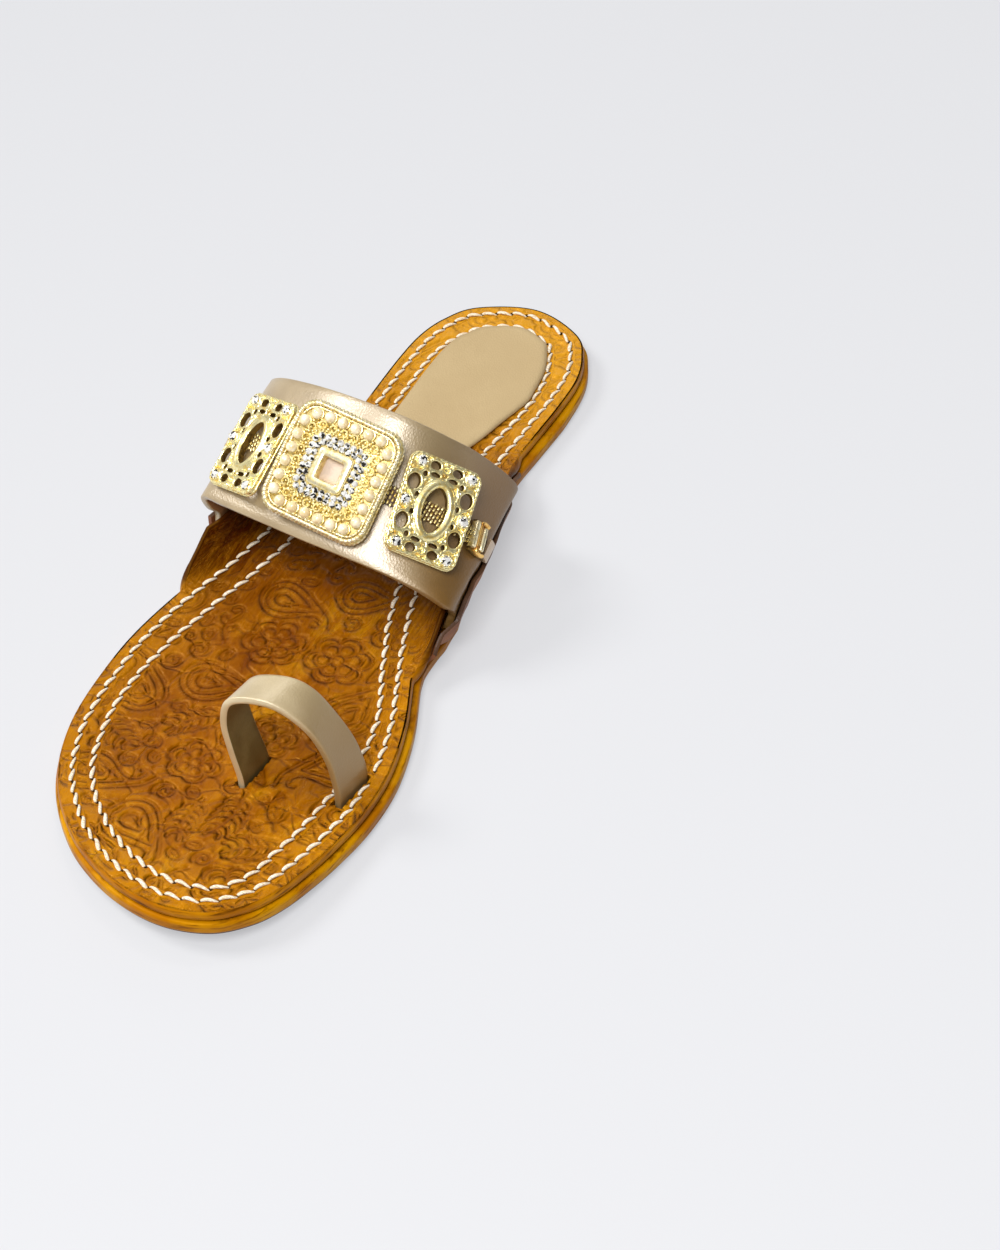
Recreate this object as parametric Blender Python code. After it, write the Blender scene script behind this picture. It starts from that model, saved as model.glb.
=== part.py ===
"""Kolhapuri chappal, right foot: leather soles, ear flaps, instep band, toe loop and ornament strip.

Lengths are in millimetres until a mesh is made, which scales them to metres.
The toe points to -Y, the heel to +Y, the outer (lateral) side of the foot to -X
and the inner (medial) side to +X. The sole rests on Z = 0.
"""

import math

import bmesh
import bpy
import numpy as np
from mathutils import Vector

MM = 0.001
# The middle of the sole's outline, which becomes the origin
OUTLINE_MIDDLE = Vector((0.2, 0.85, 0.0))

# Sole stack, from the floor up
OUTSOLE_THICKNESS = 4.0
TOP_SOLE_THICKNESS = 3.0
CLEARANCE = 0.3
TOE_SPRING = 5.0
TOE_SPRING_START = -53.0
WAIST_LIFT = 1.2
WAIST_CENTRE = 22.0
WAIST_HALF_LENGTH = 48.0
TOP_LEVEL = OUTSOLE_THICKNESS + CLEARANCE + TOP_SOLE_THICKNESS

# The outer row of stitches runs a fixed margin inside the edge of the top sole
STITCH_MARGIN = 3.8

# Outer stitch row: place along the foot, then the reach to the lateral and the medial side
ROW_COLUMNS = ("along", "lateral", "medial")
ROW_SECTIONS = [
    (-118.0, -0.3, 22.0),
    (-112.0, -11.8, 28.3),
    (-105.0, -20.1, 31.8),
    (-96.0, -27.6, 34.3),
    (-86.0, -32.8, 36.3),
    (-74.0, -36.3, 37.8),
    (-60.0, -37.7, 37.4),
    (-44.0, -37.5, 34.0),
    (-26.0, -34.6, 27.5),
    (-8.0, -29.9, 21.7),
    (10.0, -26.4, 18.3),
    (30.0, -24.4, 16.9),
    (50.0, -24.1, 17.2),
    (70.0, -24.4, 18.7),
    (88.0, -24.3, 19.9),
    (100.0, -23.3, 19.8),
    (109.0, -20.3, 17.4),
    (116.4, -14.6, 12.7),
]
TOE_TIP = (11.8, -120.4)
HEEL_TIP = (-0.4, 121.6)
SIDE_SEGMENTS = 44
# The ring has twice the points where the flaps rise
DENSE_SPAN = (-31.0, 1.0)
RUNG_POINTS = 1

# Ear flaps: share of the full height, place by place along the foot
EAR_SHARE = {
    "lateral": [(-24.5, 0.0), (-22, 0.16), (-19, 0.37), (-15, 0.56), (-12, 0.73), (-9.5, 0.9),
                (-6.5, 1.0), (26, 1.0), (40, 0.80), (50, 0.46), (58, 0.16), (66, 0.0)],
    "medial": [(-29, 0.0), (-24, 0.16), (-19, 0.48), (-13, 0.80), (-5, 1.0), (20, 1.0),
               (33, 0.80), (43, 0.60), (50, 0.42), (57, 0.14), (64, 0.0)],
}
# Sections of a flap at full height, outward from the stitch row and up from the top of the sole
INNER_EAR = {
    "lateral": [(0, 0), (1.8, 0.0), (3.4, 0.7), (4.6, 2.6), (5.1, 6.0), (5.0, 10.5)],
    "medial": [(0, 0), (3.2, 0.05), (6.2, 0.7), (8.6, 2.4), (10.4, 5.6), (11.6, 10.0)],
}
INNER_EAR_THICKNESS = 1.3
# How far the rim of a flap leans further out, place by place along the foot
INNER_EAR_LEAN = {
    "lateral": [(-24.5, 0.0), (-22, 0.4), (-19, 0.8), (-15, 1.5), (-12, 1.9), (-9.5, 1.8),
                (-8, 0.9), (-6.8, 0.2), (-6, 0.0)],
    "medial": [(-30, 0.0), (-25, 0.7), (-20, 0.2), (-17, -0.3), (-13.5, -1.1), (-7, -1.3), (0, -0.9),
               (5, 0.2), (14, 0.4), (23, -0.3), (30, -0.6), (40, -0.6), (50, 0.0)],
}
# How far the outsole stands out past the top leather, place by place along the foot
OUTSOLE_PROUD = {
    "lateral": [(-120, 0.7), (-90, 0.7), (-50, 1.1), (80, 1.0), (100, 1.1), (112, 1.7)],
    "medial": [(-120, 0.7), (-95, 1.1), (-60, 1.6), (50, 1.8), (85, 2.1), (98, 1.5), (112, 1.2)],
}
OUTSOLE_EAR_REACH = {"lateral": 4.2, "medial": 6.6}
# The outer flaps lie close to the inner ones and stand clear where the band passes between them
OUTER_EAR_SPAN = {"lateral": (-5.6, 60.5), "medial": (-22.0, 58.0)}
OUTER_EAR_THICKNESS = 1.1
OUTER_EAR_TOP = {"lateral": 0.90, "medial": 0.95}
BAND_PASSES = {
    "lateral": [(-5.6, 1.0), (43, 1.0), (48, 0.0)],
    "medial": [(-17.8, 0.0), (-13.9, 1.0), (37, 1.0), (45, 0.0)],
}

# Instep band: outer face along its front and its rear edge, from the lateral to the medial side
BAND_THICKNESS = 2.0
BAND_COLUMNS = ("front x", "front y", "front z", "rear x", "rear y", "rear z")
BAND_FOLDS = [
    (-38.9, -4.6, 13.0, -34.5, 41.0, 16.0),
    (-39.9, -5.7, 16.8, -37.0, 34.4, 25.0),
    (-38.4, -6.6, 19.4, -36.0, 28.5, 32.7),
    (-32.8, -8.9, 20.8, -30.0, 24.1, 38.8),
    (-25.0, -11.4, 22.2, -19.6, 19.6, 43.7),
    (-15.4, -13.8, 23.4, -8.5, 16.0, 46.9),
    (-4.9, -15.6, 23.8, 3.5, 14.2, 47.6),
    (6.8, -16.4, 23.3, 12.8, 14.9, 45.7),
    (17.9, -16.1, 21.6, 20.8, 18.6, 40.2),
    (28.3, -14.7, 17.8, 27.5, 25.8, 30.4),
    (35.4, -12.9, 13.0, 33.2, 34.9, 15.0),
]
BAND_CAMBER = 0.8
BAND_SEGMENTS = 44
BAND_ROWS = 6
SLOT_OFFSET = 4.0
SLOT_STEPS = (0.70, 0.85, 0.98)


def smooth_curve(points, steps):
    """Catmull-Rom curve through the points, with the given steps between neighbours."""
    points = np.asarray(points, float)
    first = 2 * points[0] - points[1]
    last = 2 * points[-1] - points[-2]
    padded = np.vstack([first, points, last])
    curve = []
    for k in range(len(points) - 1):
        a, b, c, d = padded[k:k + 4]
        for step in range(steps):
            t = step / steps
            curve.append(0.5 * (2 * b + (c - a) * t + (2 * a - 5 * b + 4 * c - d) * t ** 2
                                + (3 * b - a - 3 * c + d) * t ** 3))
    curve.append(points[-1])
    return np.array(curve)


def even_steps(curve, count, dense=None):
    """The curve cut into count steps of equal length, half as long between the places in dense."""
    lengths = np.linalg.norm(np.diff(curve, axis=0), axis=1)
    if dense:
        middle = (curve[1:, 1] + curve[:-1, 1]) / 2
        lengths *= np.where((middle > dense[0]) & (middle < dense[1]), 2.0, 1.0)
    run = np.concatenate([[0.0], np.cumsum(lengths)])
    stops = np.linspace(0.0, run[-1], count + 1)
    return np.stack([np.interp(stops, run, curve[:, k]) for k in range(curve.shape[1])], axis=1)


def rise(y):
    """Height that the toe spring and the waist add to every layer at a place along the foot."""
    toe = max(0.0, (TOE_SPRING_START - y) / (TOE_SPRING_START - TOE_TIP[1]))
    waist = max(0.0, 1.0 - abs(y - WAIST_CENTRE) / WAIST_HALF_LENGTH)
    return TOE_SPRING * toe ** 2 + WAIST_LIFT * waist ** 2 * (3 - 2 * waist)


def stitch_row():
    """Closed ring of the outer stitch row: toe tip, medial side, heel tip, lateral side."""
    medial = [TOE_TIP] + [(row[2], row[0]) for row in ROW_SECTIONS] + [HEEL_TIP]
    lateral = [TOE_TIP] + [(row[1], row[0]) for row in ROW_SECTIONS] + [HEEL_TIP]
    # each side is drawn through the first point of the other, so that the tips are round
    sides = []
    for here, there in ((medial, lateral), (lateral, medial)):
        through = [there[1]] + here + [there[-2]]
        curve = smooth_curve(through, 10)[10:-10]
        sides.append(even_steps(curve, SIDE_SEGMENTS, DENSE_SPAN))
    return np.vstack([sides[0], sides[1][-2:0:-1]])


def ring_normals(ring):
    """Outward direction at each point of a closed ring."""
    along = np.roll(ring, -1, axis=0) - np.roll(ring, 1, axis=0)
    normals = np.stack([along[:, 1], -along[:, 0]], axis=1)
    return normals / np.linalg.norm(normals, axis=1)[:, None]


ROW = stitch_row()
ROW_NORMALS = ring_normals(ROW)


def side_of(index):
    return "medial" if index <= SIDE_SEGMENTS else "lateral"


def at_place(table, y):
    """Value of a table of (place along the foot, value) rows at the place y."""
    stations, values = zip(*table)
    return float(np.interp(y, stations, values))


def ear_share(side, y):
    return at_place(EAR_SHARE[side], y)


def row_frame(side, y):
    """Point and outward direction of the stitch row on one side, at a place along the foot."""
    if side == "medial":
        chain = np.arange(0, SIDE_SEGMENTS + 1)
    else:
        chain = np.arange(2 * SIDE_SEGMENTS - 1, SIDE_SEGMENTS - 1, -1)
    ys = ROW[chain, 1]
    point = np.array([np.interp(y, ys, ROW[chain, 0]), y])
    normal = np.array([np.interp(y, ys, ROW_NORMALS[chain, k]) for k in (0, 1)])
    return point, normal / np.linalg.norm(normal)


def blend(closed, full, share):
    return (1 - share) * np.asarray(closed, float) + share * np.asarray(full, float)


def inner_face(side, y):
    """Section of the top sole's upper face outside the stitch row, flat or turned up into an ear."""
    flat = [(STITCH_MARGIN * step / 5, 0.0) for step in range(6)]
    section = blend(flat, INNER_EAR[side], ear_share(side, y))
    section[:, 0] += at_place(INNER_EAR_LEAN[side], y) * np.linspace(0, 1, 6) ** 2
    return section


def ear_thickness(share):
    """Thickness of the top sole's leather where it turns up, thinned towards the ear."""
    return TOP_SOLE_THICKNESS + (INNER_EAR_THICKNESS - TOP_SOLE_THICKNESS) * min(1.0, share / 0.4)


def section_point(section, t, offset=0.0):
    """Point at t (0 to 1) of a section, moved off it by offset, outward and down."""
    place = t * (len(section) - 1)
    k = min(int(place), len(section) - 2)
    point = section[k] + (section[k + 1] - section[k]) * (place - k)
    ahead = section[min(k + 2, len(section) - 1)] if place - k > 0.5 else section[k + 1]
    behind = section[k] if place - k >= 0.5 or k == 0 else section[k - 1]
    along = (ahead - behind) / np.linalg.norm(ahead - behind)
    return point + offset * np.array([along[1], -along[0]])


def lift_out(point, normal, step):
    """World point of a section's step (outward, up) at a row point."""
    flat = point + normal * step[0]
    return np.array([flat[0], flat[1], TOP_LEVEL + rise(point[1]) + step[1]])


# ---------------------------------------------------------------- mesh making

def make_object(name, vertices, faces, material):
    """One closed mesh object in metres, with its faces pointing out."""
    mesh = bpy.data.meshes.new(name)
    mesh.from_pydata([(Vector(v) - OUTLINE_MIDDLE) * MM for v in vertices], [], faces)
    work = bmesh.new()
    work.from_mesh(mesh)
    bmesh.ops.recalc_face_normals(work, faces=work.faces)
    work.to_mesh(mesh)
    work.free()
    mesh.materials.append(material)
    piece = bpy.data.objects.new(name, mesh)
    bpy.context.scene.collection.objects.link(piece)
    mesh.shade_smooth()
    mesh.set_sharp_from_angle(angle=math.radians(40))
    return piece


def make_material(name, color, roughness, metallic=0.0):
    material = bpy.data.materials.new(name)
    material.use_nodes = True
    shader = material.node_tree.nodes["Principled BSDF"]
    shader.inputs["Base Color"].default_value = (*color, 1.0)
    shader.inputs["Roughness"].default_value = roughness
    shader.inputs["Metallic"].default_value = metallic
    return material


def ladder(start, ring, vertices):
    """Faces and inner points that close a ring whose halves are a medial and a lateral chain."""
    count = len(ring)
    half = count // 2
    faces = []
    rungs = []
    for k in range(1, half):
        left = start + count - k
        right = start + k
        a, b = np.asarray(vertices[left]), np.asarray(vertices[right])
        rung = [left]
        for step in range(1, RUNG_POINTS + 1):
            t = step / (RUNG_POINTS + 1)
            middle = a + (b - a) * t
            middle[2] += rise(middle[1]) - (1 - t) * rise(a[1]) - t * rise(b[1])
            vertices.append(middle)
            rung.append(len(vertices) - 1)
        rung.append(right)
        rungs.append(rung)
    for tip, rung in ((start, rungs[0]), (start + half, rungs[-1])):
        for a, b in zip(rung, rung[1:]):
            faces.append((tip, a, b))
    for low, high in zip(rungs, rungs[1:]):
        for k in range(len(low) - 1):
            faces.append((low[k], low[k + 1], high[k + 1], high[k]))
    return faces


def ring_solid(name, rings, material):
    """Closed solid through a stack of rings, its first and last ring closed by ladders."""
    vertices = [point for ring in rings for point in ring]
    count = len(rings[0])
    faces = []
    for level in range(len(rings) - 1):
        for k in range(count):
            following = (k + 1) % count
            faces.append((level * count + k, level * count + following,
                          (level + 1) * count + following, (level + 1) * count + k))
    faces += ladder(0, rings[0], vertices)
    faces += ladder((len(rings) - 1) * count, rings[-1], vertices)
    return make_object(name, vertices, faces, material)


def loft_solid(name, sections, material):
    """Closed solid through sections of equal point count, its two ends closed."""
    vertices = [point for section in sections for point in section]
    count = len(sections[0])
    faces = []
    for level in range(len(sections) - 1):
        for k in range(count):
            following = (k + 1) % count
            faces.append((level * count + k, level * count + following,
                          (level + 1) * count + following, (level + 1) * count + k))
    for start in (0, (len(sections) - 1) * count):
        half = count // 2
        for k in range(half - 1):
            faces.append((start + k, start + k + 1, start + count - 2 - k, start + count - 1 - k))
    return make_object(name, vertices, faces, material)


# ---------------------------------------------------------------- sole

def sole_ring(step_at):
    """Ring of world points, each from step_at(side, y) as (outward, up) off the stitch row."""
    return [lift_out(point, normal, step_at(side_of(k), point[1]))
            for k, (point, normal) in enumerate(zip(ROW, ROW_NORMALS))]


def outsole_ring(inset, level):
    """Ring of the outsole's side, inset from its edge, at a height over its underside."""
    def step_at(side, y):
        edge = STITCH_MARGIN + at_place(OUTSOLE_PROUD[side], y)
        edge += ear_share(side, y) ** 1.5 * OUTSOLE_EAR_REACH[side]
        return edge - inset, level - TOP_LEVEL
    return sole_ring(step_at)


def build_outsole(material):
    thick = OUTSOLE_THICKNESS
    rings = [outsole_ring(7.0, 0.0), outsole_ring(1.3, 0.0), outsole_ring(0.45, 0.25),
             outsole_ring(0.35, 0.8), outsole_ring(0.0, 1.2), outsole_ring(0.0, thick - 0.9),
             outsole_ring(0.4, thick - 0.2), outsole_ring(1.0, thick), outsole_ring(7.0, thick)]
    return ring_solid("outsole", rings, material)


def top_sole_face(t, depth):
    """Ring of the top sole at t of its section, depth 0 on the upper face and 1 on the lower."""
    def step_at(side, y):
        thinned = ear_thickness(ear_share(side, y)) - TOP_SOLE_THICKNESS
        thickness = TOP_SOLE_THICKNESS + thinned * min(1, 2 * t)
        return section_point(inner_face(side, y), t, depth * thickness)
    return sole_ring(step_at)


def top_sole_edge(out, depth):
    """Ring of the top sole's cut edge, out past the end of its section."""
    def step_at(side, y):
        section = inner_face(side, y)
        thickness = ear_thickness(ear_share(side, y))
        along = section[-1] - section[-2]
        along /= np.linalg.norm(along)
        return section_point(section, 1.0, depth * thickness) + along * (out - 0.45)
    return sole_ring(step_at)


def build_top_sole(material):
    rings = [sole_ring(lambda side, y: (-9.0, -TOP_SOLE_THICKNESS))]
    rings += [top_sole_face(t, 1.0) for t in (0.0, 0.25, 0.5, 0.7, 0.86)]
    rings += [top_sole_edge(-0.3, 1.0), top_sole_edge(0.35, 0.8), top_sole_edge(0.45, 0.45)]
    rings += [top_sole_edge(0.2, 0.12), top_sole_edge(-0.35, 0.0)]
    rings += [top_sole_face(t, 0.0) for t in (0.8, 0.6, 0.4, 0.2, 0.0)]
    rings += [sole_ring(lambda side, y: (-9.0, 0.0))]
    return ring_solid("top_sole", rings, material)


def outer_ear_section(side, y):
    """Closed section of an outer flap as (outward, up) steps off the stitch row."""
    section = inner_face(side, y)
    share = ear_share(side, y)
    near = ear_thickness(share) + CLEARANCE + 0.15
    far = SLOT_OFFSET + CLEARANCE + 0.2
    wall = near + (far - near) * at_place(BAND_PASSES[side], y)
    low = 0.92 - 0.34 * min(1.0, share / 0.5)
    places = np.linspace(low, OUTER_EAR_TOP[side], 5)
    floor = 0.1 - TOP_SOLE_THICKNESS
    inside = [section_point(section, t, wall) for t in places]
    outside = [section_point(section, t, wall + OUTER_EAR_THICKNESS) for t in places]
    foot = inside[0] + np.array([-0.9, -1.1]) * min(1.0, share / 0.5)
    steps = [(max(x, 4.3), max(z, floor)) for x, z in [*outside, *inside[::-1]]]
    steps += [(max(foot[0], 4.3), max(foot[1], floor + 0.6)), (max(foot[0], 4.3), floor)]
    return steps


def build_outer_ear(side, material):
    sections = []
    for y in np.linspace(*OUTER_EAR_SPAN[side], 32):
        point, normal = row_frame(side, y)
        sections.append([lift_out(point, normal, step) for step in outer_ear_section(side, y)])
    return loft_solid("outer_ear_" + side, sections, material)


# ---------------------------------------------------------------- instep band

def slot_point(side, y, t):
    """Outer face of the band where it runs down between the ears."""
    point, normal = row_frame(side, y)
    section = inner_face(side, y)
    return lift_out(point, normal, section_point(section, t, SLOT_OFFSET))


def band_line(v):
    """The band's outer face from side to side, v from 0 at the front to 1 at the rear edge."""
    folds = np.array(BAND_FOLDS, float)
    seen = (1 - v) * folds[:, :3] + v * folds[:, 3:]
    seen[:, 2] += TOP_LEVEL
    lateral = [slot_point("lateral", seen[0, 1], t) for t in SLOT_STEPS]
    medial = [slot_point("medial", seen[-1, 1], t) for t in SLOT_STEPS[::-1]]
    line = smooth_curve(np.vstack([lateral, seen, medial]), 8)
    return even_steps(line, BAND_SEGMENTS)


def band_grid():
    lines = np.array([band_line(v) for v in np.linspace(0, 1, BAND_ROWS)])
    normals = grid_normals(lines)
    for row, v in enumerate(np.linspace(0, 1, BAND_ROWS)):
        fade = np.clip((np.arange(BAND_SEGMENTS + 1) - 5) / 6, 0, 1)
        fade = fade * fade[::-1]
        lines[row] += normals[row] * (BAND_CAMBER * 4 * v * (1 - v) * fade)[:, None]
    return lines, grid_normals(lines)


def grid_normals(lines):
    """Outward normals of a grid of points, rows from front to rear, columns lateral to medial."""
    across = np.gradient(lines, axis=0)
    along = np.gradient(lines, axis=1)
    normals = np.cross(along, across)
    return normals / np.linalg.norm(normals, axis=2)[:, :, None]


BAND_FACE, BAND_NORMALS = band_grid()


def band_point(u, v, lift=0.0):
    """World point on the band's outer face, u from lateral to medial, v from front to rear."""
    place = np.clip(u, 0, 1) * BAND_SEGMENTS
    row = np.clip(v, 0, 1) * (BAND_ROWS - 1)
    k, r = min(int(place), BAND_SEGMENTS - 1), min(int(row), BAND_ROWS - 2)
    s, q = place - k, row - r
    def mix(grid):
        low = grid[r, k] * (1 - s) + grid[r, k + 1] * s
        high = grid[r + 1, k] * (1 - s) + grid[r + 1, k + 1] * s
        return low * (1 - q) + high * q
    normal = mix(BAND_NORMALS)
    return mix(BAND_FACE) + normal / np.linalg.norm(normal) * lift


def strap_sections(outer, normals, thickness, bulge):
    """Sections of a strap from its outer face's grid; its two long edges swell by bulge."""
    sections = []
    for k in range(outer.shape[1]):
        face = outer[:, k]
        back = face - normals[:, k] * thickness
        front_edge = (face[0] + back[0]) / 2 + unit(face[0] - face[1]) * bulge
        rear_edge = (face[-1] + back[-1]) / 2 + unit(face[-1] - face[-2]) * bulge
        sections.append([*face, rear_edge, *back[::-1], front_edge])
    return sections


def unit(vector):
    return vector / np.linalg.norm(vector)


def build_band(material):
    sections = strap_sections(BAND_FACE, BAND_NORMALS, BAND_THICKNESS, 0.35)
    return loft_solid("instep_band", sections, material)


# ---------------------------------------------------------------- toe loop

LOOP_THICKNESS = 1.8
LOOP_COLUMNS = ("front x", "front z", "rear x", "rear z")
LOOP_FOLDS = [
    (8.9, -2.6, 10.0, -2.6),
    (8.8, 2.0, 9.8, 2.0),
    (7.0, 11.0, 7.4, 11.0),
    (5.8, 20.0, 5.8, 20.0),
    (7.2, 27.6, 7.4, 25.4),
    (11.4, 30.6, 11.4, 28.8),
    (18.0, 31.0, 19.0, 29.9),
    (24.0, 28.4, 24.8, 27.2),
    (29.4, 23.2, 30.0, 20.4),
    (33.2, 14.6, 33.9, 13.4),
    (34.8, 5.5, 36.2, 6.0),
    (35.1, 2.0, 36.7, 2.0),
    (35.1, -2.6, 36.8, -2.6),
]
LOOP_FRONT_Y = (-78.8, -75.0)
LOOP_REAR_Y = (-68.0, -63.8)
LOOP_SEGMENTS = 34
LOOP_ROWS = 4
LOOP_SLIT_MARGIN = 0.35


def loop_face():
    folds = np.array(LOOP_FOLDS, float)
    lines = []
    for v in np.linspace(0, 1, LOOP_ROWS):
        x = (1 - v) * folds[:, 0] + v * folds[:, 2]
        z = (1 - v) * folds[:, 1] + v * folds[:, 3]
        across = (x - x[0]) / (x[-1] - x[0])
        front = LOOP_FRONT_Y[0] + across * (LOOP_FRONT_Y[1] - LOOP_FRONT_Y[0])
        rear = LOOP_REAR_Y[0] + across * (LOOP_REAR_Y[1] - LOOP_REAR_Y[0])
        y = (1 - v) * front + v * rear
        base = np.array([TOP_LEVEL + rise(place) for place in y])
        line = smooth_curve(np.stack([x, y, z + base], axis=1), 8)
        lines.append(even_steps(line, LOOP_SEGMENTS))
    return np.array(lines)


def build_toe_loop(material):
    face = loop_face()
    sections = strap_sections(face, grid_normals(face), LOOP_THICKNESS, 0.3)
    return loft_solid("toe_loop", sections, material)


def build_loop_slits(top_sole):
    """Cuts the two slits that the toe loop's legs run down through."""
    face = loop_face()
    normals = grid_normals(face)
    for name, k in (("slit_cutter_inner", 0), ("slit_cutter_outer", LOOP_SEGMENTS)):
        front, rear = face[0, k], face[-1, k]
        out = normals[0, k] * np.array([1, 1, 0])
        out = unit(out)
        along = unit((rear - front) * np.array([1, 1, 0]))
        reach = LOOP_SLIT_MARGIN
        corners = [front + out * reach - along * (reach + 0.3), rear + out * reach + along * (reach + 0.3),
                   rear - out * (LOOP_THICKNESS + reach) + along * (reach + 0.3),
                   front - out * (LOOP_THICKNESS + reach) - along * (reach + 0.3)]
        levels = (OUTSOLE_THICKNESS - 1.0, TOP_LEVEL + 4.0)
        vertices = [np.array([c[0], c[1], level]) for level in levels for c in corners]
        faces = [(0, 1, 2, 3), (4, 5, 6, 7), (0, 1, 5, 4), (1, 2, 6, 5), (2, 3, 7, 6), (3, 0, 4, 7)]
        cutter = make_object(name, vertices, faces, top_sole.data.materials[0])
        cutter.hide_render = True
        cutter.display_type = "WIRE"
        cut = top_sole.modifiers.new(name, "BOOLEAN")
        cut.operation = "DIFFERENCE"
        cut.object = cutter


# ---------------------------------------------------------------- heel pad

PAD_THICKNESS = 1.2
PAD_INSET = 6.6
PAD_FRONT = 22.0
PAD_MEDIAL_CUT = [(-3.0, 22.0), (0.5, 40.0), (8.0, 59.0), (11.7, 73.0)]
PAD_SEGMENTS = 24


def build_heel_pad(material):
    lateral, medial = [], []
    for k, (point, normal) in enumerate(zip(ROW, ROW_NORMALS)):
        if point[1] > PAD_FRONT + 3 and side_of(k) == "lateral":
            lateral.append(point - normal * PAD_INSET)
        if point[1] > 80 and k < SIDE_SEGMENTS:
            medial.append(point - normal * (PAD_INSET - 1.5))
    tip = ROW[SIDE_SEGMENTS] - ROW_NORMALS[SIDE_SEGMENTS] * PAD_INSET
    middle = np.array([-9.5, PAD_FRONT])
    corner = np.array([lateral[-1][0] + 1.0, PAD_FRONT])
    left = smooth_curve(np.vstack([middle, corner, lateral[::-1], tip]), 6)
    right = smooth_curve(np.vstack([middle, PAD_MEDIAL_CUT, medial, tip]), 6)
    ring = np.vstack([even_steps(right, PAD_SEGMENTS), even_steps(left, PAD_SEGMENTS)[-2:0:-1]])
    normals = ring_normals(ring)
    rings = []
    for inset, level in ((0.5, 0.0), (0.0, 0.35), (0.0, 0.7), (0.5, 1.1), (1.6, PAD_THICKNESS)):
        flat = ring - normals * inset
        rings.append([np.array([x, y, TOP_LEVEL + rise(y) + CLEARANCE + level]) for x, y in flat])
    return ring_solid("heel_pad", rings, material)


# ---------------------------------------------------------------- ornament strip

CHAIN_WIDTH = 5.5
CHAIN_LIFT = 0.4
CHAIN_THICKNESS = 0.8
CHAIN_SPAN = (0.245, 0.855)
CHAIN_PLACE = 0.48
PLAQUE_LIFT = 2.0

# Where each piece sits on the band, and how it is turned and tipped there, in degrees
SEAT_COLUMNS = ("across", "along", "spin", "roll", "pitch")
SEATS = {
    "plaque_lateral": (0.316, 0.455, -1.0, 6.0, 0.0),
    "plaque_centre": (0.525, 0.480, -2.8, -3.0, 3.0),
    "plaque_medial": (0.733, 0.480, 1.4, 4.0, 2.0),
    "slide_medial": (0.866, 0.490, 0.0, 0.0, 0.0),
}

# Centre plaque: rounded-square steps, from the outer edge over the face and down through the hole
CENTRE_COLUMNS = ("half width", "corner radius", "height")
CENTRE_STEPS = [
    (14.9, 4.8, 0.0),
    (15.4, 5.0, 0.4),
    (15.4, 5.0, 1.5),
    (14.9, 4.8, 1.9),
    (14.3, 4.7, 1.9),
    (14.0, 4.6, 1.3),
    (10.7, 3.2, 1.5),
    (9.0, 2.4, 2.2),
    (7.3, 1.8, 2.4),
    (5.2, 1.3, 2.4),
    (5.1, 1.2, 3.2),
    (3.3, 0.9, 3.2),
    (3.0, 0.7, 2.8),
    (3.0, 0.7, 0.0),
]

# Side plaques: a pierced plate with a raised collar around a pointed oval
SIDE_WIDTH = 20.4
SIDE_LENGTH = 27.2
SIDE_THICKNESS = 1.7
OVAL_WIDTH = 6.4
OVAL_LENGTH = 12.2
COLLAR_WIDTH = 1.9
COLLAR_HEIGHT = 2.7
HOLE_COLUMNS = ("across", "along", "radius")
PIERCED_HOLES = [
    (-7.3, 5.3, 1.7), (7.3, 5.3, 1.7), (-7.3, -5.3, 1.7), (7.3, -5.3, 1.7),
    (-3.0, 10.9, 1.4), (3.0, 10.9, 1.4), (-3.0, -10.9, 1.4), (3.0, -10.9, 1.4),
]

SLIDE_LENGTH = 9.6
SLIDE_WIDTH = 5.6
SLIDE_HEIGHT = 2.6
SLIDE_SECTION = [
    (-2.8, 0.0), (-2.8, 1.5), (-2.2, 2.3), (-1.4, 2.3), (-1.0, 1.6), (-0.5, 1.6),
    (0.0, 2.6), (1.0, 2.6), (1.5, 1.7), (1.9, 1.7), (2.3, 2.1), (2.8, 1.6), (2.8, 0.0),
]
TAB_WIDTH = 6.6
TAB_THICKNESS = 1.1
TAB_SPANS = {"lateral": (0.085, 0.235), "medial": (0.902, 0.926)}


def turned(first, second, degrees):
    """Two axes turned in their plane, the first towards the second."""
    angle = math.radians(degrees)
    return (first * math.cos(angle) + second * math.sin(angle),
            second * math.cos(angle) - first * math.sin(angle))


def seat(name, lift):
    """Centre and axes (across the foot, towards the heel, off the band) of a piece on the band."""
    u, v, spin, roll, pitch = SEATS[name]
    centre = band_point(u, v, lift)
    across = unit(band_point(u + 0.03, v) - band_point(u - 0.03, v))
    along = unit(band_point(u, v + 0.2) - band_point(u, v - 0.2))
    normal = unit(np.cross(across, along))
    along = np.cross(normal, across)
    across, along = turned(across, along, spin)
    across, normal = turned(across, normal, roll)
    along, normal = turned(along, normal, pitch)
    return centre, across, along, normal


def on_seat(frame, x, y, z):
    centre, across, along, normal = frame
    return centre + across * x + along * y + normal * z


def rounded_square(half_x, half_y, radius, corner_steps=4):
    """Closed outline of a square with round corners."""
    points = []
    for quarter in range(4):
        turn = quarter * math.pi / 2
        sign_x = 1 if quarter in (0, 3) else -1
        sign_y = 1 if quarter in (0, 1) else -1
        for step in range(corner_steps + 1):
            angle = turn + step / corner_steps * math.pi / 2
            points.append((sign_x * (half_x - radius) + radius * math.cos(angle),
                           sign_y * (half_y - radius) + radius * math.sin(angle)))
    return points


def pointed_oval(half_width, half_length, count=20):
    """Closed outline of an oval drawn out to soft points along its length."""
    points = []
    for k in range(count):
        angle = 2 * math.pi * k / count
        across = abs(math.cos(angle)) ** 1.15 * math.copysign(1, math.cos(angle))
        points.append((half_width * across, half_length * math.sin(angle)))
    return points


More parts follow.
